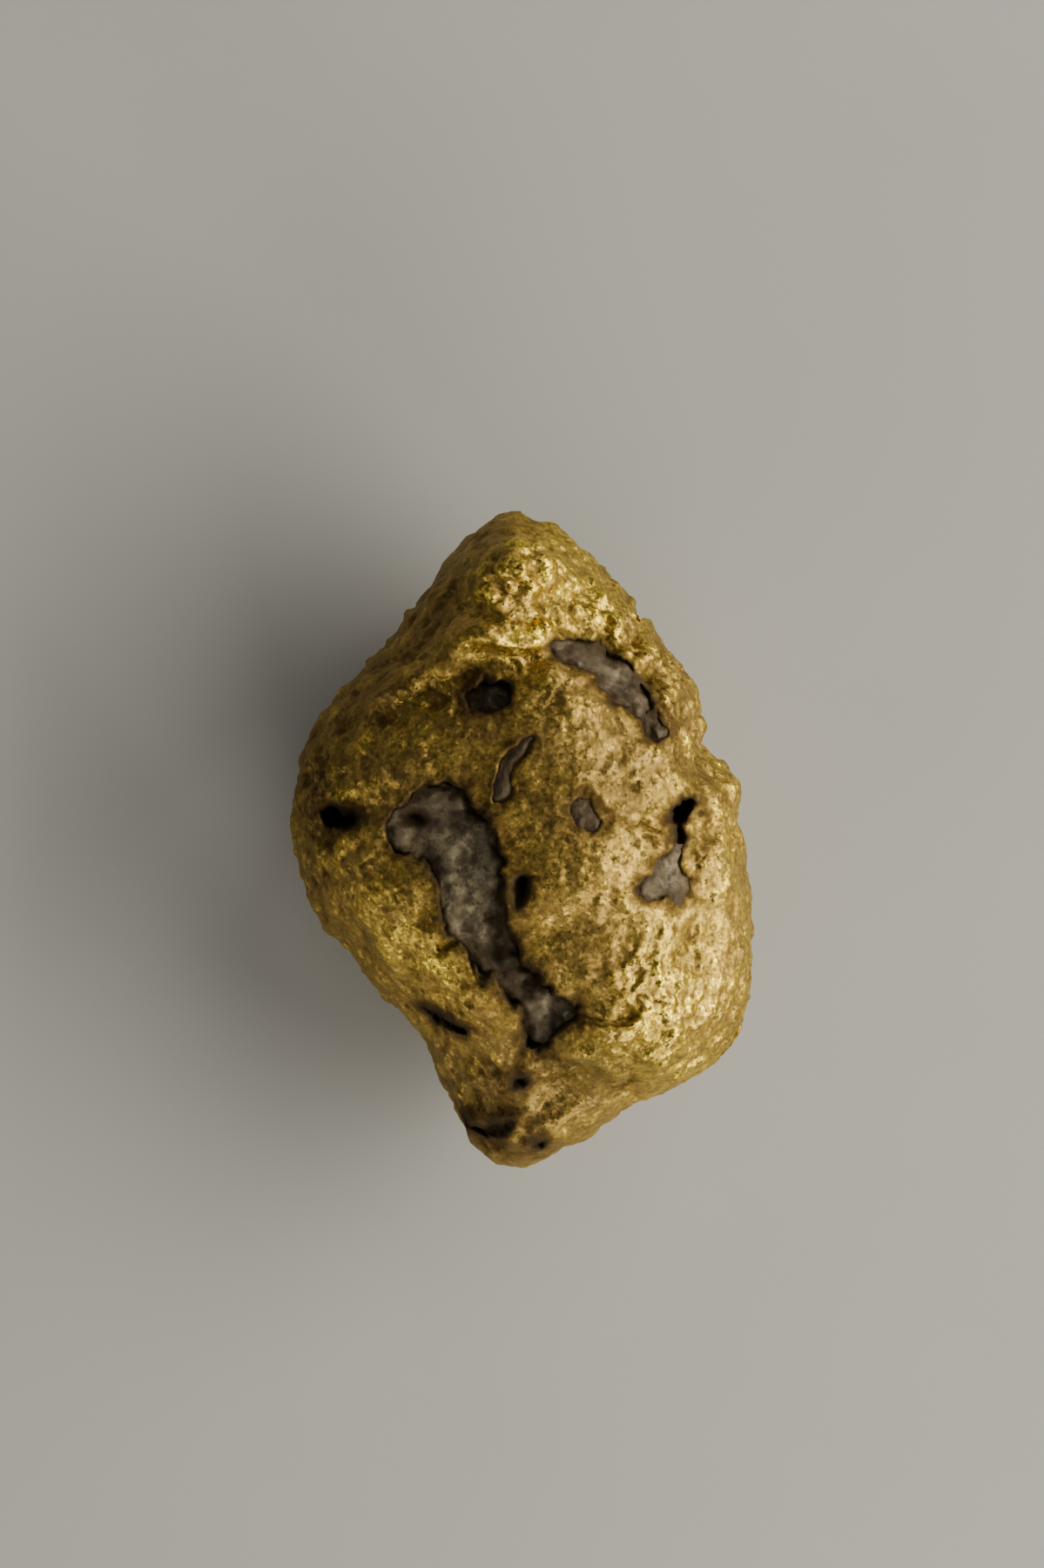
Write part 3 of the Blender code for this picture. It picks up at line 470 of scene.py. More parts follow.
def rim_share(x, y):
    """0 in the middle of the plan, 1 on the outline. Only the outer ground follows its small turns."""
    angle = np.arctan2(y, x)
    out = np.hypot(x, y)
    outline = outline_radius(angle)
    near = smoothstep(*OUTLINE_SHOWS, out / outline)
    knobs = knob_height(angle) * smoothstep(KNOB_REACH, 1.0, out / outline)
    reach = near * (outline + knobs) + (1.0 - near) * eased_radius(angle)
    return np.clip(out / reach, 0.0, 1.0)


def along_way(x, y, a, b):
    """0 at the first of two places in plan and 1 at the second, along the straight way between them."""
    ex, ey = b[0] - a[0], b[1] - a[1]
    return ((x - a[0]) * ex + (y - a[1]) * ey) / (ex * ex + ey * ey)


def way_gap(x, y, a, b):
    """Distance to the straight way between two places in plan, and how far along it is nearest, 0 to 1."""
    t = np.clip(along_way(x, y, a, b), 0.0, 1.0)
    return np.hypot(x - a[0] - t * (b[0] - a[0]), y - a[1] - t * (b[1] - a[1])), t


def line_gap(x, y, line):
    """Distance to an open line in plan, and the side of it: 1 on its left and -1 on its right."""
    best = np.full(x.shape, np.inf)
    side = np.ones(x.shape)
    for a, b in zip(line, line[1:]):
        gap, _ = way_gap(x, y, a, b)
        on_left = (b[0] - a[0]) * (y - a[1]) > (b[1] - a[1]) * (x - a[0])
        side = np.where(gap < best, np.where(on_left, 1.0, -1.0), side)
        best = np.minimum(best, gap)
    return best, side


def turned(x, y, centre, radii, degrees):
    """Distance from an ellipse's centre in plan, as a share of its radius in that direction."""
    c, s = math.cos(math.radians(degrees)), math.sin(math.radians(degrees))
    dx, dy = x - centre[0], y - centre[1]
    return np.hypot((dx * c + dy * s) / radii[0], (dy * c - dx * s) / radii[1])


def patches(x, y, places):
    """Ellipses in plan added up, each with a weight that falls off from its centre as a bell curve."""
    return sum(weight * np.exp(-(turned(x, y, *ellipse) ** 2)) for *ellipse, weight in places)


def ledge_height(x, y, line, rise, carry):
    """A step along a line: the left side stands higher, and that height fades out away from the line."""
    gap, side = line_gap(x, y, line)
    along = along_way(x, y, line[0], line[-1])
    lifted = smoothstep(-LEDGE_SOFTNESS, LEDGE_SOFTNESS, gap * side)
    ends = smoothstep(0.0, LEDGE_ENDS[0], along) * smoothstep(1.0, LEDGE_ENDS[1], along)
    return rise * lifted * ends * np.exp(-((np.maximum(gap * side, 0.0) / carry) ** 2))


def rim_height(x, y, share):
    """Height of the widest section: it wavers a little round the nugget, and is level in the middle."""
    angle = np.arctan2(y, x)
    waver = sum(height * np.cos(count * angle + phase) for height, count, phase in RIM_WAVER)
    return RIM_HEIGHT + share**2 * waver


def ground_down(height, x, y, flanks, crest):
    """A dome cut by sloping flanks."""
    for degrees, reach, slope in flanks:
        out = x * math.cos(math.radians(degrees)) + y * math.sin(math.radians(degrees))
        height = smooth_min(height, crest - slope * (out - reach), EDGE_BLEND)
    return height


def laid_flat(x, y):
    """Plan places as points at height 0."""
    return np.column_stack([x, y, np.zeros(len(x))])


def wandered(x, y):
    """Plan places moved about a little, so that forms drawn through them turn out uneven."""
    flat = laid_flat(x, y)
    for k, (wavelength, stray) in enumerate(WANDER):
        x = x + stray * soft_noise(flat, wavelength, 31 + 2 * k)
        y = y + stray * soft_noise(flat, wavelength, 32 + 2 * k)
    return x, y


def front_height(x, y):
    """Height of the front surface above the rest flat, without its hollows."""
    share = rim_share(x, y)
    rim = rim_height(x, y, share)
    angle = np.arctan2(y, x)
    power, swing, phase = FRONT_SQUARENESS
    at, width, more = SQUARE_TIP
    squareness = power + swing * np.cos(angle + phase) + more * np.exp(-(((angle - at) / width) ** 2))
    dome = (FRONT_RISE + DOME_EXCESS) * np.sqrt(np.maximum(1.0 - share**squareness, 0.0))
    x, y = wandered(x, y)
    height = ground_down(dome, x, y, FRONT_FLANKS, FRONT_RISE)
    fade = smoothstep(1.0, LUMPS_END, share)
    height = height + fade * patches(x, y, FRONT_LUMPS)
    for line, rise, carry in LEDGES:
        height = height + fade * ledge_height(x, y, line, rise, carry)
    return rim + height


def back_height(x, y):
    """Height of the back surface, before the rest flat is cut."""
    share = rim_share(x, y)
    dome = BACK_REACH * np.sqrt(np.maximum(1.0 - share**BACK_SQUARENESS, 0.0))
    return rim_height(x, y, share) - ground_down(dome, x, y, BACK_FLANKS, BACK_REACH - DOME_EXCESS)


def relief(points):
    """Height of the soft lumps all over the gold at these points."""
    return sum(height * soft_noise(points, wave, 11 + k) for k, (wave, height) in enumerate(RELIEF))


def lumpy_front(x, y):
    """Height of the front surface with its soft lumps, without its hollows."""
    height = front_height(x, y)
    return height + relief(np.column_stack([x, y, height]))


def inside_hollow(x, y, spine):
    """How far inside the edge of a hollow a place lies: discs swept along its spine, with a ragged edge."""
    flat = laid_flat(x, y)
    stray = sum(far * soft_noise(flat, wave, 71 + k) for k, (wave, far) in enumerate(RAGGED))
    stray *= min(1.0, STRAY_PER_HALF * max(half for _, _, half in spine))
    x, y = wandered(x, y)
    inside = np.full(x.shape, -np.inf)
    for a, b in zip(spine, spine[1:]):
        gap, t = way_gap(x, y, a, b)
        inside = np.maximum(inside, a[2] + t * (b[2] - a[2]) - gap)
    return inside + stray


def hollow_depth(x, y):
    """How deep the hollows are at each place, and how strong their dark crust, partly painted shade, and the
    stain round them are.
    """
    depth, crust_and_shade, halo = (np.zeros(x.shape) for _ in range(3))
    filled = [(spine, deep, "filled", CRUSTED_AND_SHADED.get(name, 1.0)) for name, (spine, deep, _, _) in QUARTZ.items()]
    for spine, deep, kind, strength in filled + [(spine, deep, "open", 1.0) for spine, deep in HOLES]:
        inside = inside_hollow(x, y, spine)
        wall = min(WALL_WIDTH, WALL_SHARE[kind] * max(half for _, _, half in spine))
        depth = np.maximum(depth, deep * smoothstep(0.0, wall, inside))
        crust_and_shade = np.maximum(crust_and_shade, strength * smoothstep(*CRUST_BAND, inside))
        halo = np.maximum(halo, smoothstep(*HALO_BAND, inside))
    return depth, crust_and_shade, halo


def grid_quads(index):
    """The quads between neighbours in a grid of point numbers, or in a stack of such grids."""
    corners = [index[..., :-1, :-1], index[..., 1:, :-1], index[..., 1:, 1:], index[..., :-1, 1:]]
    return np.stack(corners, axis=-1).reshape(-1, 4)


def sphere_grid(divisions, lift):
    """Directions from a sphere's middle, and the quads between them.

    Each of a cube's six faces is a grid of two parameters, spaced as tangents, and thrown out onto the
    sphere. The points that two faces share are merged. Looking from a place lift below the middle, where
    the directions are even, the upper side's are closer together.
    """
    turns = np.tan(np.linspace(-math.pi / 4, math.pi / 4, divisions + 1))
    u, v = np.meshgrid(turns, turns, indexing="ij")
    faces = []
    for axis in range(3):
        for sign, first, second in ((1.0, u, v), (-1.0, v, u)):
            face = np.empty((*u.shape, 3))
            face[..., axis] = sign
            face[..., (axis + 1) % 3] = first
            face[..., (axis + 2) % 3] = second
            faces.append(face.reshape(-1, 3))
    points = np.vstack(faces)
    points /= np.linalg.norm(points, axis=1, keepdims=True)
    places = np.round(points * 1e6).astype(np.int64)
    _, kept, index = np.unique(places, axis=0, return_index=True, return_inverse=True)
    directions = points[kept] + (0.0, 0.0, lift)
    directions /= np.linalg.norm(directions, axis=1, keepdims=True)
    return directions, grid_quads(index.reshape(6, divisions + 1, divisions + 1))


def vertex_normals(points, quads):
    """Each point's outward direction: the sum of the diagonals' cross products of the quads round it."""
    a, b, c, d = (points[quads[:, k]] for k in range(4))
    across = np.cross(c - a, d - b)
    total = np.zeros_like(points)
    for k in range(4):
        for axis in range(3):
            total[:, axis] += np.bincount(quads[:, k], across[:, axis], len(points))
    return total / np.linalg.norm(total, axis=1, keepdims=True)


def fold_height(points):
    """Steep narrow ridges that run along Y: 1 less twice the size of a noise that is stretched along them."""
    q = points / FOLD_SPACING
    q[:, 0] += FOLD_STRAY[1] * soft_noise(points, FOLD_STRAY[0], 83)
    return 1.0 - 2.0 * np.sqrt(soft_noise(q, 1.0, 84) ** 2 + FOLD_ROUNDING)


def gold_surface(divisions, lift, roughness):
    """The nugget's surface as points, quads and masks, from a grid of directions.

    A point's place in plan is its direction times the outline's radius. Its height is the front's or the
    back's. Soft lumps, crumpled facets, folds and grain then move it along the surface's normal, hollows,
    creases and pits sink it, and what would lie below the rest flat is raised to it.
    """
    directions, quads = sphere_grid(divisions, lift)
    angle = np.arctan2(directions[:, 1], directions[:, 0])
    share = np.hypot(directions[:, 0], directions[:, 1])
    reach = outline_radius(angle) + knob_height(angle) * smoothstep(KNOB_REACH, 1.0, share)
    x, y = reach * directions[:, 0], reach * directions[:, 1]
    front = directions[:, 2] > 0
    base = np.column_stack([x, y, np.where(front, front_height(x, y), back_height(x, y))])
    normals = vertex_normals(base, quads)
    rise = np.abs(directions[:, 2])
    lumps = relief(base)
    lumps *= RIM_RELIEF + (1.0 - RIM_RELIEF) * smoothstep(*RIM_BAND, rise)

    onto_front = smoothstep(*FRONT_BAND, directions[:, 2])
    placed = {"crust": CRUSTS, "stain": STAINS_AND_SHADE, "tarnish": TARNISH_AND_SHADE}
    marks = {
        name: onto_front * patches(x, y, places) + (1.0 - onto_front) * BACK_MARKS[name]
        for name, places in placed.items()
    }
    crust = CALM + marks["crust"] + RIM_CRUST * smoothstep(*RIM_CRUST_BAND, rise)
    folds = onto_front * patches(x, y, FOLDS)
    facets = sum(height * crumpled(base, size) for size, height in CRUMPLE)
    fine = crust * facets + FOLD_HEIGHT * folds * fold_height(base)
    grain = sum(height * soft_noise(base, wave, 91 + k) for k, (wave, height) in enumerate(GRAIN))
    points = base + normals * (lumps + roughness * (fine + grain))[:, None]

    depth, crust_and_shade, halo = hollow_depth(points[:, 0], points[:, 1])
    calm_floor = 1.0 - FLOOR_CALM * smoothstep(0.0, FLOOR_DEPTH, depth)
    crease = np.zeros(len(points))
    for line, half_width, deep in CREASES:
        gap, _ = line_gap(*wandered(points[:, 0], points[:, 1]), line)
        crease = np.maximum(crease, deep * np.exp(-((gap / half_width) ** 2)))
    pits = PIT_DEPTH * pitted(base, PIT_CELL, PIT_SHARE) * calm_floor
    points[:, 2] -= front * (depth + crease)
    points -= normals * (pits * smoothstep(*PITTED_CRUST, crust))[:, None]
    points[:, 2] = np.maximum(points[:, 2], 0.0)

    creased = front * smoothstep(*DEEP_CREASES, crease)
    masks = {
        "crust": crust,
        "hollow": front * crust_and_shade,
        "crevice": smoothstep(*LOW_FACETS, -fine) + creased + pits / PIT_DEPTH,
        "halo": front * halo,
        "stain": marks["stain"],
        "tarnish": marks["tarnish"],
        "wear": onto_front * patches(x, y, WEAR_AND_HIGHLIGHTS) + smoothstep(*HIGH_FACETS, fine),
    }
    return points, quads, masks


def fitted(points, low, high):
    """Points stretched a hair along each axis, so that their box is the box from low to high."""
    least, most = points.min(axis=0), points.max(axis=0)
    return low + (points - least) * (high - low) / (most - least)


def eased(count):
    """This many shares from 0 to 1, closer together towards both ends."""
    return 0.5 - 0.5 * np.cos(np.linspace(0.0, math.pi, count))


def quartz_surface(spine, deep, sunk, edge_drop):
    """A quartz piece as points, quads and masks: closed sections carried along the hollow's chord.

    At each station along the chord the section reaches from one edge of the hollow to the other, found
    where the distance inside the hollow's edge changes sign. Its top is the gold's front less the crown's
    depth, with lumps and dips, its underside lies just below the hollow's floor, and it closes at both ends.
    """
    start, end = np.array(spine[0][:2]), np.array(spine[-1][:2])
    way = (end - start) / np.linalg.norm(end - start)
    across = np.array([-way[1], way[0]])
    widest = max(half for _, _, half in spine)
    room = SCAN_ROOM * widest
    length = np.linalg.norm(end - start)
    scan_along = np.linspace(-room, length + room, SCAN)
    scan_across = np.linspace(-room, room, SCAN)
    t, s = (a.ravel() for a in np.meshgrid(scan_along, scan_across, indexing="ij"))
    x, y = start[:, None] + way[:, None] * t + across[:, None] * s
    held = (inside_hollow(x, y, spine) > -TUCK).reshape(SCAN, SCAN)
    filled = np.flatnonzero(held.any(axis=1))
    left = scan_across[held.argmax(axis=1)]
    right = scan_across[SCAN - 1 - held[:, ::-1].argmax(axis=1)]
    ends = scan_along[filled[0]], scan_along[filled[-1]]
    stations = ends[0] + (ends[1] - ends[0]) * eased(SLICES + 2)[1:-1]
    left = np.interp(stations, scan_along[filled], left[filled])[:, None]
    right = np.interp(stations, scan_along[filled], right[filled])[:, None]
    under = np.linspace(1.0, 0.0, UNDER + 2)[1:-1]
    s = left + (right - left) * np.concatenate([eased(ACROSS), under])
    around = ACROSS + UNDER
    t = np.repeat(stations[:, None], around, axis=1)
    plan = start + way * t[..., None] + across * s[..., None]
    x, y = plan.reshape(-1, 2).T
    surface = lumpy_front(x, y)
    inside = inside_hollow(x, y, spine)
    flat = laid_flat(x, y)
    lumps = min(1.0, widest) * sum(height * crumpled(flat, size) for size, height in QUARTZ_LUMPS)
    dips = patches(x, y, QUARTZ_DIPS)
    crown = surface - sunk + lumps - dips - edge_drop * smoothstep(EDGE_WIDTH, -TUCK, inside)
    foot = surface - deep - TUCK
    is_top = np.tile(np.arange(around) < ACROSS, SLICES)
    points = np.column_stack([x, y, np.where(is_top, np.maximum(crown, foot + TUCK), foot)])
    grid = np.arange(len(points)).reshape(SLICES, around)
    grid = np.column_stack([grid, grid[:, 0]])
    tips = points.reshape(SLICES, around, 3)[[0, -1]].mean(axis=1)
    fan = np.column_stack([grid[0, :-1], grid[0, 1:], np.full(around, len(points))])
    far_fan = np.column_stack([grid[-1, 1:], grid[-1, :-1], np.full(around, len(points) + 1)])
    # The dark edge and the dips are partly iron stain, partly painted shade.
    stain_and_shade_width = min(STAIN_AND_SHADE_WIDTH[0], STAIN_AND_SHADE_WIDTH[1] * widest)
    stain_and_shade = smoothstep(stain_and_shade_width, 0.0, inside) + smoothstep(*SHADED_DIPS, dips)
    masks = {
        "edge": stain_and_shade + patches(x, y, QUARTZ_STAINS),
        "pale": patches(x, y, PALE_PATCHES),
        "crevice": smoothstep(*LOW_QUARTZ, -lumps),
    }
    masks = {name: np.append(values, [1.0, 1.0]) for name, values in masks.items()}
    faces = [*grid_quads(grid).tolist(), *fan.tolist(), *far_fan.tolist()]
    return np.vstack([points, tips]), faces, masks


def make_piece(name, points, faces, masks, finish):
    """A smooth-shaded mesh object at the origin, with its masks as attributes of its points."""
    mesh = bpy.data.meshes.new(name)
    mesh.from_pydata(points * MM, [], faces)
    mesh.shade_smooth()
    for mask, values in masks.items():
        made = mesh.attributes.new(mask, "FLOAT", "POINT")
        made.data.foreach_set("value", np.clip(values, 0.0, 1.0).astype(np.float32))
    mesh.materials.append(finish)
    piece = bpy.data.objects.new(name, mesh)
    bpy.context.scene.collection.objects.link(piece)
    return piece


class Nodes:
    """Short ways to add nodes to a node tree and join them up."""

    def __init__(self, tree):
        self.tree = tree

    def add(self, kind, inputs=None, **settings):
        """A node of a kind with these settings, and each named or numbered input linked or set."""
        node = self.tree.nodes.new(kind)
        for key, value in settings.items():
            setattr(node, key, value)
        for key, value in (inputs or {}).items():
            self.feed(node.inputs[key], value)
        return node

    def feed(self, socket, value):
        """Links a socket to another one, or sets it to a plain value."""
        if isinstance(value, bpy.types.NodeSocket):
            self.tree.links.new(value, socket)
        else:
            socket.default_value = value

    def math(self, operation, first, second, clamped=True):
        """A number worked out from two others, and held between 0 and 1 where it is clamped."""
        node = self.add("ShaderNodeMath", {0: first, 1: second}, operation=operation, use_clamp=clamped)
        return node.outputs[0]

    def times(self, first, second):
        """The product of two numbers, held between 0 and 1."""
        return self.math("MULTIPLY", first, second)

    def plus(self, first, second):
        """The sum of two numbers, held between 0 and 1."""
        return self.math("ADD", first, second)

    def vector(self, operation, first, second=None):
        """A vector made from one vector, from two, or for SCALE from a vector and a number."""
        node = self.add("ShaderNodeVectorMath", {0: first}, operation=operation)
        if second is not None:
            self.feed(node.inputs["Scale" if operation == "SCALE" else 1], second)
        return node.outputs[0]

    def mix(self, share, first, second):
        """The colour that lies this share of the way from the first to the second."""
        return self.add("ShaderNodeMix", {0: share, 6: first, 7: second}, data_type="RGBA").outputs[2]

    def blend(self, share, first, second):
        """The number that lies this share of the way from the first to the second."""
        return self.add("ShaderNodeMix", {0: share, 2: first, 3: second}, data_type="FLOAT").outputs[0]

    def place(self):
        """Object coordinates, in metres."""
        return self.add("ShaderNodeTexCoord").outputs["Object"]

    def mask(self, name):
        """One of the masks that the mesh carries."""
        return self.add("ShaderNodeAttribute", attribute_name=name).outputs["Fac"]

    def group(self, tree, **inputs):
        """What a shared group puts out for these inputs."""
        return self.add("ShaderNodeGroup", inputs, node_tree=tree).outputs[0]


def new_group(name, inputs, output):
    """A shader node group with these inputs, as (name, kind, default), and one output, as (name, kind)."""
    tree = bpy.data.node_groups.new(name, "ShaderNodeTree")
    for label, kind, default in inputs:
        socket = tree.interface.new_socket(label, in_out="INPUT", socket_type=kind)
        if default is not None:
            socket.default_value = default
    tree.interface.new_socket(output[0], in_out="OUTPUT", socket_type=output[1])
    nodes = Nodes(tree)
    return nodes, nodes.add("NodeGroupInput").outputs, nodes.add("NodeGroupOutput").inputs


FLOAT, VECTOR = "NodeSocketFloat", "NodeSocketVector"


def mottle_group():
    """Patchy mask: layered noise of a given size, with its contrast raised between a low and a high value."""
    nodes, given, out = new_group(
        "mottle",
        [("Size", FLOAT, 0.001), ("Low", FLOAT, 0.4), ("High", FLOAT, 0.6), ("Seed", FLOAT, 0.0)],
        ("Mask", FLOAT),
    )
    frequency = nodes.math("DIVIDE", 1.0, given["Size"], clamped=False)
    look = {"Vector": nodes.place(), "W": given["Seed"], "Scale": frequency, "Detail": 4.0, "Roughness": 0.6}
    noise = nodes.add("ShaderNodeTexNoise", look, noise_dimensions="4D").outputs[0]
    ends = {"Value": noise, "From Min": given["Low"], "From Max": given["High"]}
    nodes.feed(out["Mask"], nodes.add("ShaderNodeMapRange", ends, interpolation_type="SMOOTHSTEP").outputs[0])
    return nodes.tree


def facet_group():
    """Crystal facets: each cell of a Voronoi pattern turns the normal its own way, by up to the tilt."""
    inputs = [("Normal", VECTOR, None), ("Size", FLOAT, 0.0003), ("Tilt", FLOAT, 0.3)]
    nodes, given, out = new_group("facets", inputs, ("Normal", VECTOR))
    place = nodes.place()
    frequency = nodes.math("DIVIDE", 1.0, given["Size"], clamped=False)
    stray = nodes.add("ShaderNodeTexNoise", {"Vector": place, "Scale": frequency}).outputs["Color"]
    moved = nodes.vector("ADD", place, nodes.vector("SCALE", stray, nodes.times(given["Size"], FACET_STRAY)))
    cells = nodes.add("ShaderNodeTexVoronoi", {"Vector": moved, "Scale": frequency}, feature="F1")
    way = nodes.vector("SUBTRACT", cells.outputs["Color"], (0.5, 0.5, 0.5))
    leaning = nodes.vector("ADD", given["Normal"], nodes.vector("SCALE", way, given["Tilt"]))
    nodes.feed(out["Normal"], nodes.vector("NORMALIZE", leaning))
    return nodes.tree


def grain_group():
    """Fine grain as a height: layered noise at one size, and cell edges at three times that size."""
    inputs = [("Size", FLOAT, 0.0001), ("Cells", FLOAT, 0.5)]
    nodes, given, out = new_group("grain", inputs, ("Height", FLOAT))
    fine = {"Vector": nodes.place(), "Scale": nodes.math("DIVIDE", 1.0, given["Size"], clamped=False)}
    wide = {"Vector": nodes.place(), "Scale": nodes.math("DIVIDE", 0.33, given["Size"], clamped=False)}
    noise = nodes.add("ShaderNodeTexNoise", {**fine, "Detail": 3.0}).outputs[0]
    cells = nodes.add("ShaderNodeTexVoronoi", wide, feature="SMOOTH_F1").outputs["Distance"]
    nodes.feed(out["Height"], nodes.blend(given["Cells"], noise, cells))
    return nodes.tree


def shared(name, make):
    """A node group that is made once and then found by its name."""
    return bpy.data.node_groups.get(name) or make()


def new_material(name):
    """A material with only a Principled BSDF, its nodes, and that shader's inputs."""
    made = bpy.data.materials.new(name)
    made.use_nodes = True
    return made, Nodes(made.node_tree), made.node_tree.nodes["Principled BSDF"].inputs


def relief_normal(nodes, facets, size, cells, depth):
    """The normal after each kind of facet has tilted it and the grain has been pressed into it."""
    normal = nodes.add("ShaderNodeNewGeometry").outputs["Normal"]
    for facet_size, tilt in facets:
        normal = nodes.group(shared("facets", facet_group), Normal=normal, Size=facet_size * MM, Tilt=tilt)
    height = nodes.group(shared("grain", grain_group), Size=size * MM, Cells=cells)
    pressed = {"Distance": depth * MM, "Height": height, "Normal": normal}
    return nodes.add("ShaderNodeBump", pressed).outputs[0]


def mottles(nodes, table):
    """The patchy masks of a table by their names."""
    tree = shared("mottle", mottle_group)
    return {
        name: nodes.group(tree, Size=size * MM, Low=low, High=high, Seed=seed)
        for name, (size, low, high, seed) in table.items()
    }


def shaded(colour, share):
    """A colour at this share of its strength."""
    return [share * part for part in colour[:3]] + [1.0]


def gold_material(settings):
    """Native gold: yellow where it is worn and where highlights are painted, deeper and duller between, olive
    where shade is painted on the flanks, brown in its creases, and near black in its hollows, partly as
    painted shade.
    """
    made, nodes, shader = new_material("native gold")
    patch = mottles(nodes, GOLD_PATCHES)
    hollow, crust = nodes.mask("hollow"), nodes.mask("crust")
    colour = nodes.mix(patch["tone"], settings.deep_gold, settings.gold)
    colour = nodes.mix(nodes.times(patch["dim"], GOLD_SHARES["dim"]), colour, settings.deep_gold)
    # Bright gold where the gold is rubbed, and as a painted highlight on the places that face the key light.
    shine = nodes.times(nodes.mask("wear"), patch["shine"])
    colour = nodes.mix(shine, colour, settings.bright_gold)
    # The tarnish mask turns the gold dull olive: partly a real green-grey film, partly painted shade on the
    # flanks, under the cap's ledge and on the foot.
    film = nodes.times(nodes.mask("tarnish"), patch["film"])
    colour = nodes.mix(nodes.times(film, GOLD_SHARES["film"]), colour, settings.tarnish)
    colour = nodes.mix(nodes.times(patch["freckles"], GOLD_SHARES["freckles"]), colour, settings.amber)
    creased = nodes.times(nodes.times(nodes.mask("crevice"), patch["creased"]), GOLD_SHARES["creased"])
    # Brown stain patches, which are painted shade on the left edge and the foot.
    rust = nodes.times(nodes.mask("stain"), patch["rust"])
    ringed = nodes.times(nodes.mask("halo"), patch["ringed"])
    brown = nodes.plus(creased, nodes.plus(rust, ringed))
    colour = nodes.mix(nodes.times(brown, GOLD_SHARES["brown"]), colour, settings.stain)
    # Near black on the hollows' walls and all over the open holes: partly dark crust, partly painted shade.
    nodes.feed(shader["Base Color"], nodes.mix(hollow, colour, settings.hollow))
    covered = nodes.plus(nodes.times(brown, UNMETALLED["brown"]), nodes.times(hollow, UNMETALLED["hollow"]))
    nodes.feed(shader["Metallic"], nodes.math("SUBTRACT", 1.0, covered))
    rough = nodes.blend(patch["matt"], *GOLD_ROUGHNESS["plain"])
    rough = nodes.blend(shine, rough, GOLD_ROUGHNESS["shine"])
    glints = nodes.times(patch["glints"], nodes.plus(crust, CALM_GLINTS))
    rough = nodes.blend(glints, rough, GOLD_ROUGHNESS["glints"])
    nodes.feed(shader["Roughness"], nodes.blend(nodes.plus(brown, hollow), rough, GOLD_ROUGHNESS["brown"]))
    shader["Specular Tint"].default_value = (0.92, 0.86, 0.68, 1.0)
    shader["Specular IOR Level"].default_value = 0.10
    facets = [(size, nodes.blend(crust, calm, crumpled_tilt)) for size, calm, crumpled_tilt in GOLD_FACETS]
    nodes.feed(shader["Normal"], relief_normal(nodes, facets, *GOLD_GRAIN, settings.grain_depth / MM))
    return made


def quartz_material(slot, tone, cloud_tone, edge_tone):
    """Vein quartz: cloudy, with paler clouds, thin dark flaws, and a dark edge and dark dips that are partly
    iron stain and partly painted shade.
    """
    made, nodes, shader = new_material(slot.replace("_", " "))
    patch = mottles(nodes, QUARTZ_PATCHES)
    # The edge mask darkens the rim and the dips: partly iron stain, partly painted shade.
    edge = nodes.mask("edge")
    share = QUARTZ_SHARES
    colour = nodes.mix(patch["tone"], shaded(tone, share["dim"]), tone)
    clouds = nodes.times(patch["clouds"], nodes.plus(nodes.mask("pale"), share["clouds"]))
    colour = nodes.mix(clouds, colour, cloud_tone)
    flawed = nodes.plus(nodes.times(patch["flaws"], share["flaws"]), nodes.times(edge, patch["stain_and_shade"]))
    dark = nodes.plus(flawed, nodes.times(nodes.mask("crevice"), share["crevice"]))
    nodes.feed(shader["Base Color"], nodes.mix(dark, colour, edge_tone))
    nodes.feed(shader["Roughness"], nodes.blend(patch["matt"], *QUARTZ_ROUGHNESS))
    shader["IOR"].default_value = 1.54
    shader["Specular IOR Level"].default_value = 0.18
    clean = nodes.math("SUBTRACT", share["sheen"], nodes.times(edge, share["sheen"]))
    nodes.feed(shader["Coat Weight"], nodes.times(patch["sheen"], clean))
    shader["Coat Roughness"].default_value = 0.16
    facets = [(size, part * QUARTZ_TILTS[slot]) for size, part in QUARTZ_FACETS]
    nodes.feed(shader["Normal"], relief_normal(nodes, facets, *QUARTZ_GRAIN))
    return made


def floor_material(settings):
    """A pale matt sheet with a very faint unevenness."""
    made, nodes, shader = new_material("pale floor")
    patch = mottles(nodes, FLOOR_PATCHES)
    colour = settings.floor_colour
    nodes.feed(shader["Base Color"], nodes.mix(patch["tone"], shaded(colour, FLOOR_DIM), colour))
    nodes.feed(shader["Roughness"], nodes.blend(patch["matt"], *FLOOR_ROUGHNESS))
    return made


def colour_property(label, description, default):
    """A colour, given as red, green and blue."""
    return bpy.props.FloatVectorProperty(
        name=label, description=description, default=(*default, 1.0), size=4, min=0.0, max=1.0,
        subtype="COLOR",
    )


def length_property(label, description, default):
    """A length in metres."""
    return bpy.props.FloatProperty(
        name=label, description=description, default=default, min=0.0, subtype="DISTANCE", unit="LENGTH"
    )


def power_property(label, default):
    """The power of one of the lights, in watts."""
    return bpy.props.FloatProperty(
        name=label, description=f"Power of the {label.lower()} light", default=default, min=0.0, unit="POWER"
    )


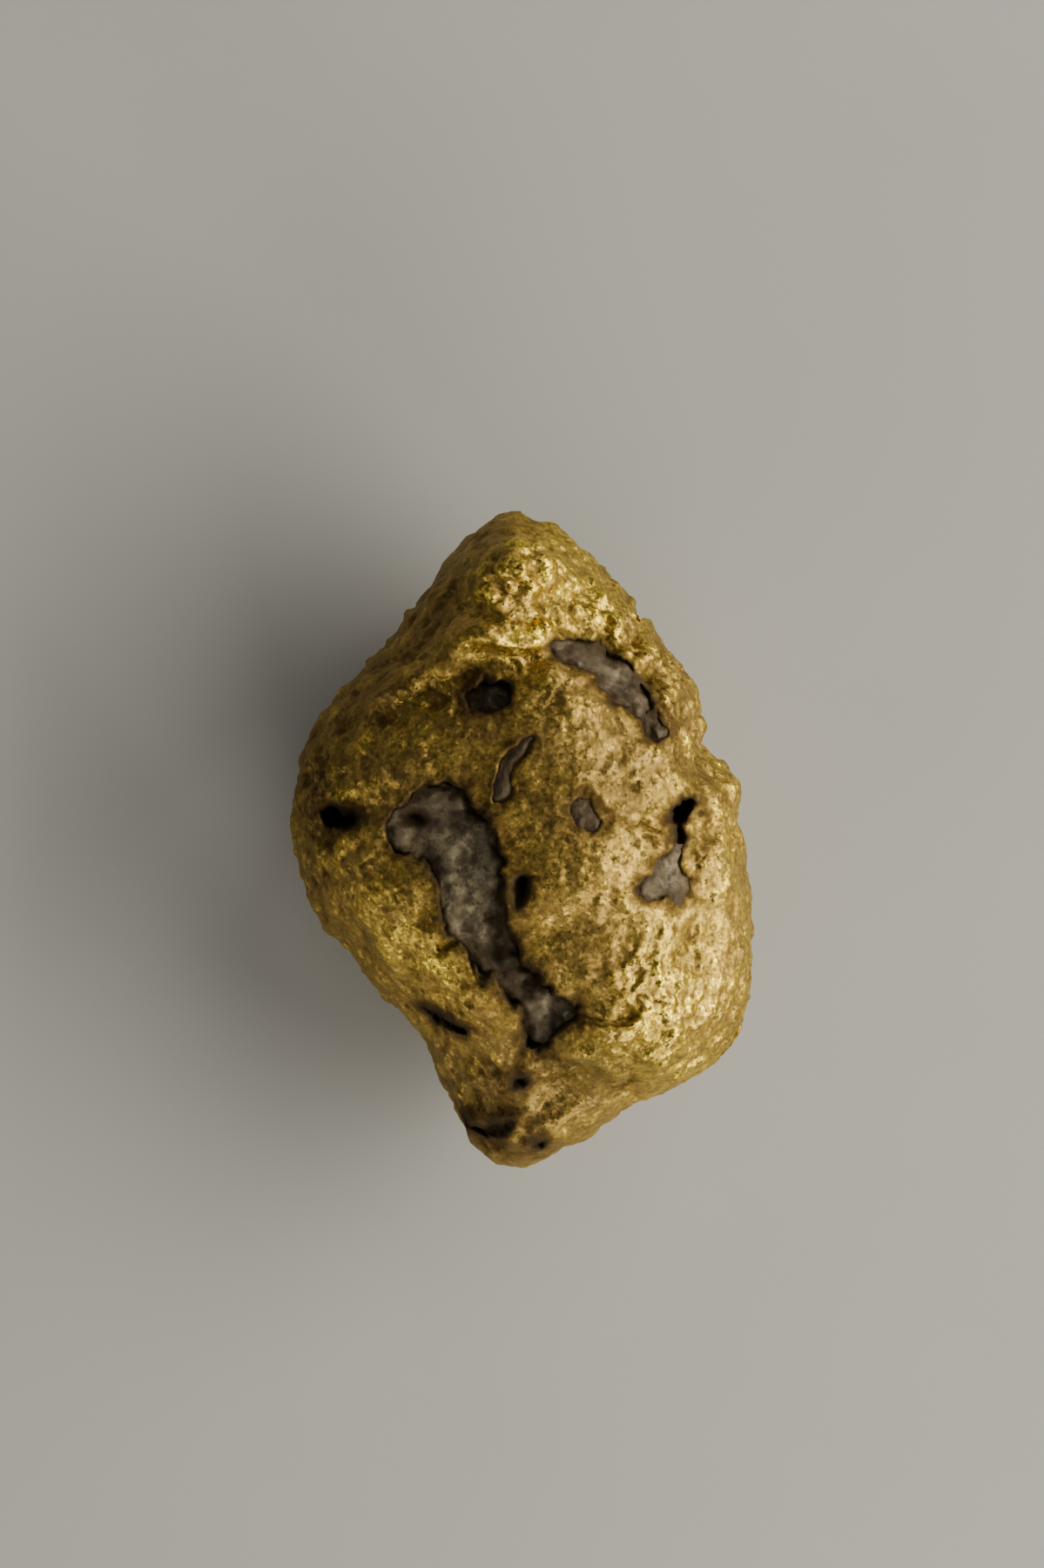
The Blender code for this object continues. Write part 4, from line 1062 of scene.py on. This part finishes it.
class GoldSettings(bpy.types.PropertyGroup):
    """Sizes and colours of the gold."""

    divisions: bpy.props.IntProperty(
        name="Divisions", description="Grid cells along each side of the six patches",
        default=127, min=16, max=127,
    )
    roughness: bpy.props.FloatProperty(
        name="Roughness", description="Height of the crumpled facets, folds and grain",
        default=1.0, min=0.0, max=2.0, subtype="FACTOR",
    )
    grain_depth: length_property("Grain depth", "Depth of the finest grain", 0.000022)
    gold: colour_property("Gold", "Clean gold", (0.62, 0.424, 0.104))
    deep_gold: colour_property("Deep gold", "Duller gold between the worn places", (0.39, 0.256, 0.086))
    # Rubbed gold, also used as a painted highlight where the key light falls.
    bright_gold: colour_property("Bright gold", "Gold rubbed bright", (0.88, 0.645, 0.085))
    # Dull olive: a green-grey film, also used as painted shade on the flanks and the foot that face away from
    # the key light.
    tarnish: colour_property("Tarnish", "Green-grey film", (0.18, 0.126, 0.055))
    amber: colour_property("Amber", "Iron film in fine freckles", (0.30, 0.190, 0.050))
    # Brown iron stain, also used for the painted shade on the left edge and the foot.
    stain: colour_property("Stain", "Brown iron stain in creases", (0.070, 0.037, 0.013))
    # Near black: partly dark crust, partly painted shade on the hollows' walls and in the open holes.
    hollow: colour_property("Hollow", "Dark crust on the walls of the hollows", (0.040, 0.025, 0.013))


class QuartzSettings(bpy.types.PropertyGroup):
    """Colours of the quartz."""

    grey: colour_property("Grey quartz", "Quartz in the large hollow", (0.140, 0.106, 0.075))
    mauve: colour_property("Mauve quartz", "Quartz in the narrow hollows", (0.106, 0.075, 0.052))
    pale: colour_property("Pale quartz", "Quartz in the right-hand hollow", (0.130, 0.090, 0.056))
    dark: colour_property("Dark quartz", "Quartz in the round pit", (0.050, 0.033, 0.021))
    cloud: colour_property("Clouds", "Palest clouds and streaks", (0.34, 0.285, 0.20))
    # Dark brown for the quartz's rim and dips: partly iron stain, partly painted shade.
    edge: colour_property("Edge stain", "Dark stain where quartz meets gold", (0.060, 0.038, 0.022))


class StageSettings(bpy.types.PropertyGroup):
    """The floor, the lights and the camera."""

    floor_colour: colour_property("Floor", "Colour of the floor", (0.475, 0.472, 0.53))
    floor_size: length_property("Floor size", "Side of the floor", 1.6)
    lens: bpy.props.FloatProperty(
        name="Lens", description="Focal length of the camera", default=120.0, min=20.0,
        subtype="DISTANCE_CAMERA",
    )
    view_height: length_property("View height", "Height of the picture at the nugget", 0.0526)
    aim: length_property("Aim", "How far towards the pointed top the camera looks", 0.00187)
    key: power_property("Key", 1.22)
    fill: power_property("Fill", 0.27)
    low: power_property("Low", 0.12)
    top: power_property("Top", 0.10)
    world: bpy.props.FloatProperty(name="World", description="Strength of the even light", default=0.07)


class NUGGET_OT_gold(bpy.types.Operator):
    """Makes the gold from a grid of directions and lays it over its solid"""

    bl_idname = "nugget.gold"
    bl_label = "Make the gold"

    def execute(self, context):
        settings = context.scene.nugget_gold
        points, quads, masks = gold_surface(settings.divisions, GRID_LIFT, settings.roughness)
        low, high = (np.array(corner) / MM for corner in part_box("gold_body"))
        piece = make_piece("gold", fitted(points, low, high), quads, masks, gold_material(settings))
        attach(piece, BODY)
        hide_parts("gold_body")
        return {"FINISHED"}


class NUGGET_OT_quartz(bpy.types.Operator):
    """Makes the six pieces of quartz, each in its hollow"""

    bl_idname = "nugget.quartz"
    bl_label = "Make the quartz"

    def execute(self, context):
        s = context.scene.nugget_quartz
        tones = {
            "grey_quartz": (s.grey, s.cloud),
            "mauve_quartz": (s.mauve, s.cloud),
            "pale_quartz": (s.pale, s.cloud),
            "dark_quartz": (s.dark, s.grey),
        }
        finishes = {slot: quartz_material(slot, *pair, s.edge) for slot, pair in tones.items()}
        slots = {row["node"]: row["material_slot"] for row in frame["record"]["subparts"]}
        for node, form in QUARTZ.items():
            points, faces, masks = quartz_surface(*form)
            piece = make_piece(node + "_crystal", points, faces, masks, finishes[slots[node]])
            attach(piece, BODY)
            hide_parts(node)
        return {"FINISHED"}


class NUGGET_OT_stage(bpy.types.Operator):
    """Makes the pale floor, the soft lights and the camera that looks straight down"""

    bl_idname = "nugget.stage"
    bl_label = "Make the stage"

    def execute(self, context):
        settings = context.scene.nugget_stage
        side = np.linspace(-0.5, 0.5, FLOOR_POINTS) * settings.floor_size / MM
        u, v = np.meshgrid(side, side, indexing="ij")
        quads = grid_quads(np.arange(u.size).reshape(u.shape))
        sheet = np.column_stack([u.ravel(), v.ravel(), np.full(u.size, -FLOOR_DROP)])
        make_piece("floor", sheet, quads, {}, floor_material(settings))
        for name, (size, place) in LIGHTS.items():
            self.light(name, getattr(settings, name), size, place)
        world = bpy.data.worlds.new("even light")
        world.use_nodes = True
        background = world.node_tree.nodes["Background"].inputs
        background["Color"].default_value = (1.0, 1.0, 1.0, 1.0)
        background["Strength"].default_value = settings.world
        context.scene.world = world
        camera = bpy.data.cameras.new("camera")
        camera.lens = settings.lens
        camera.clip_start = 0.01
        holder = bpy.data.objects.new("camera", camera)
        away = settings.lens / camera.sensor_width * settings.view_height
        holder.location = (0.0, settings.aim, RIM_HEIGHT * MM + away)
        context.scene.collection.objects.link(holder)
        context.scene.camera = holder
        return {"FINISHED"}

    def light(self, name, power, size, place):
        """A rectangular area light that faces the nugget, with its upright side and its level side."""
        lamp = bpy.data.lights.new(name, "AREA")
        lamp.energy = power
        lamp.color = LIGHT_COLOUR
        lamp.shape = "RECTANGLE"
        lamp.size_y, lamp.size = size
        holder = bpy.data.objects.new(name, lamp)
        holder.location = place
        holder.rotation_euler = (-Vector(place)).to_track_quat("-Z", "Y").to_euler()
        bpy.context.scene.collection.objects.link(holder)


class NUGGET_PT_panel(bpy.types.Panel):
    """The steps that make the nugget, and their sizes and colours"""

    bl_idname = "NUGGET_PT_panel"
    bl_label = "Gold nugget"
    bl_space_type = "VIEW_3D"
    bl_region_type = "UI"
    bl_category = "Nugget"

    def draw(self, context):
        for operator, settings in STEPS:
            box = self.layout.box()
            box.operator(operator.bl_idname)
            for field in settings.__annotations__:
                box.prop(getattr(context.scene, SCENE_NAMES[settings]), field)


STEPS = [(NUGGET_OT_gold, GoldSettings), (NUGGET_OT_quartz, QuartzSettings), (NUGGET_OT_stage, StageSettings)]
SCENE_NAMES = {GoldSettings: "nugget_gold", QuartzSettings: "nugget_quartz", StageSettings: "nugget_stage"}
CLASSES = [*SCENE_NAMES, *(operator for operator, _ in STEPS), NUGGET_PT_panel]


def register():
    for each in CLASSES:
        bpy.utils.register_class(each)
    for settings, name in SCENE_NAMES.items():
        setattr(bpy.types.Scene, name, bpy.props.PointerProperty(type=settings))


def unregister():
    for name in SCENE_NAMES.values():
        delattr(bpy.types.Scene, name)
    for each in reversed(CLASSES):
        bpy.utils.unregister_class(each)


def main():
    register()
    bpy.ops.nugget.gold()
    bpy.ops.nugget.quartz()
    bpy.ops.nugget.stage()


if __name__ == "__main__":
    main()
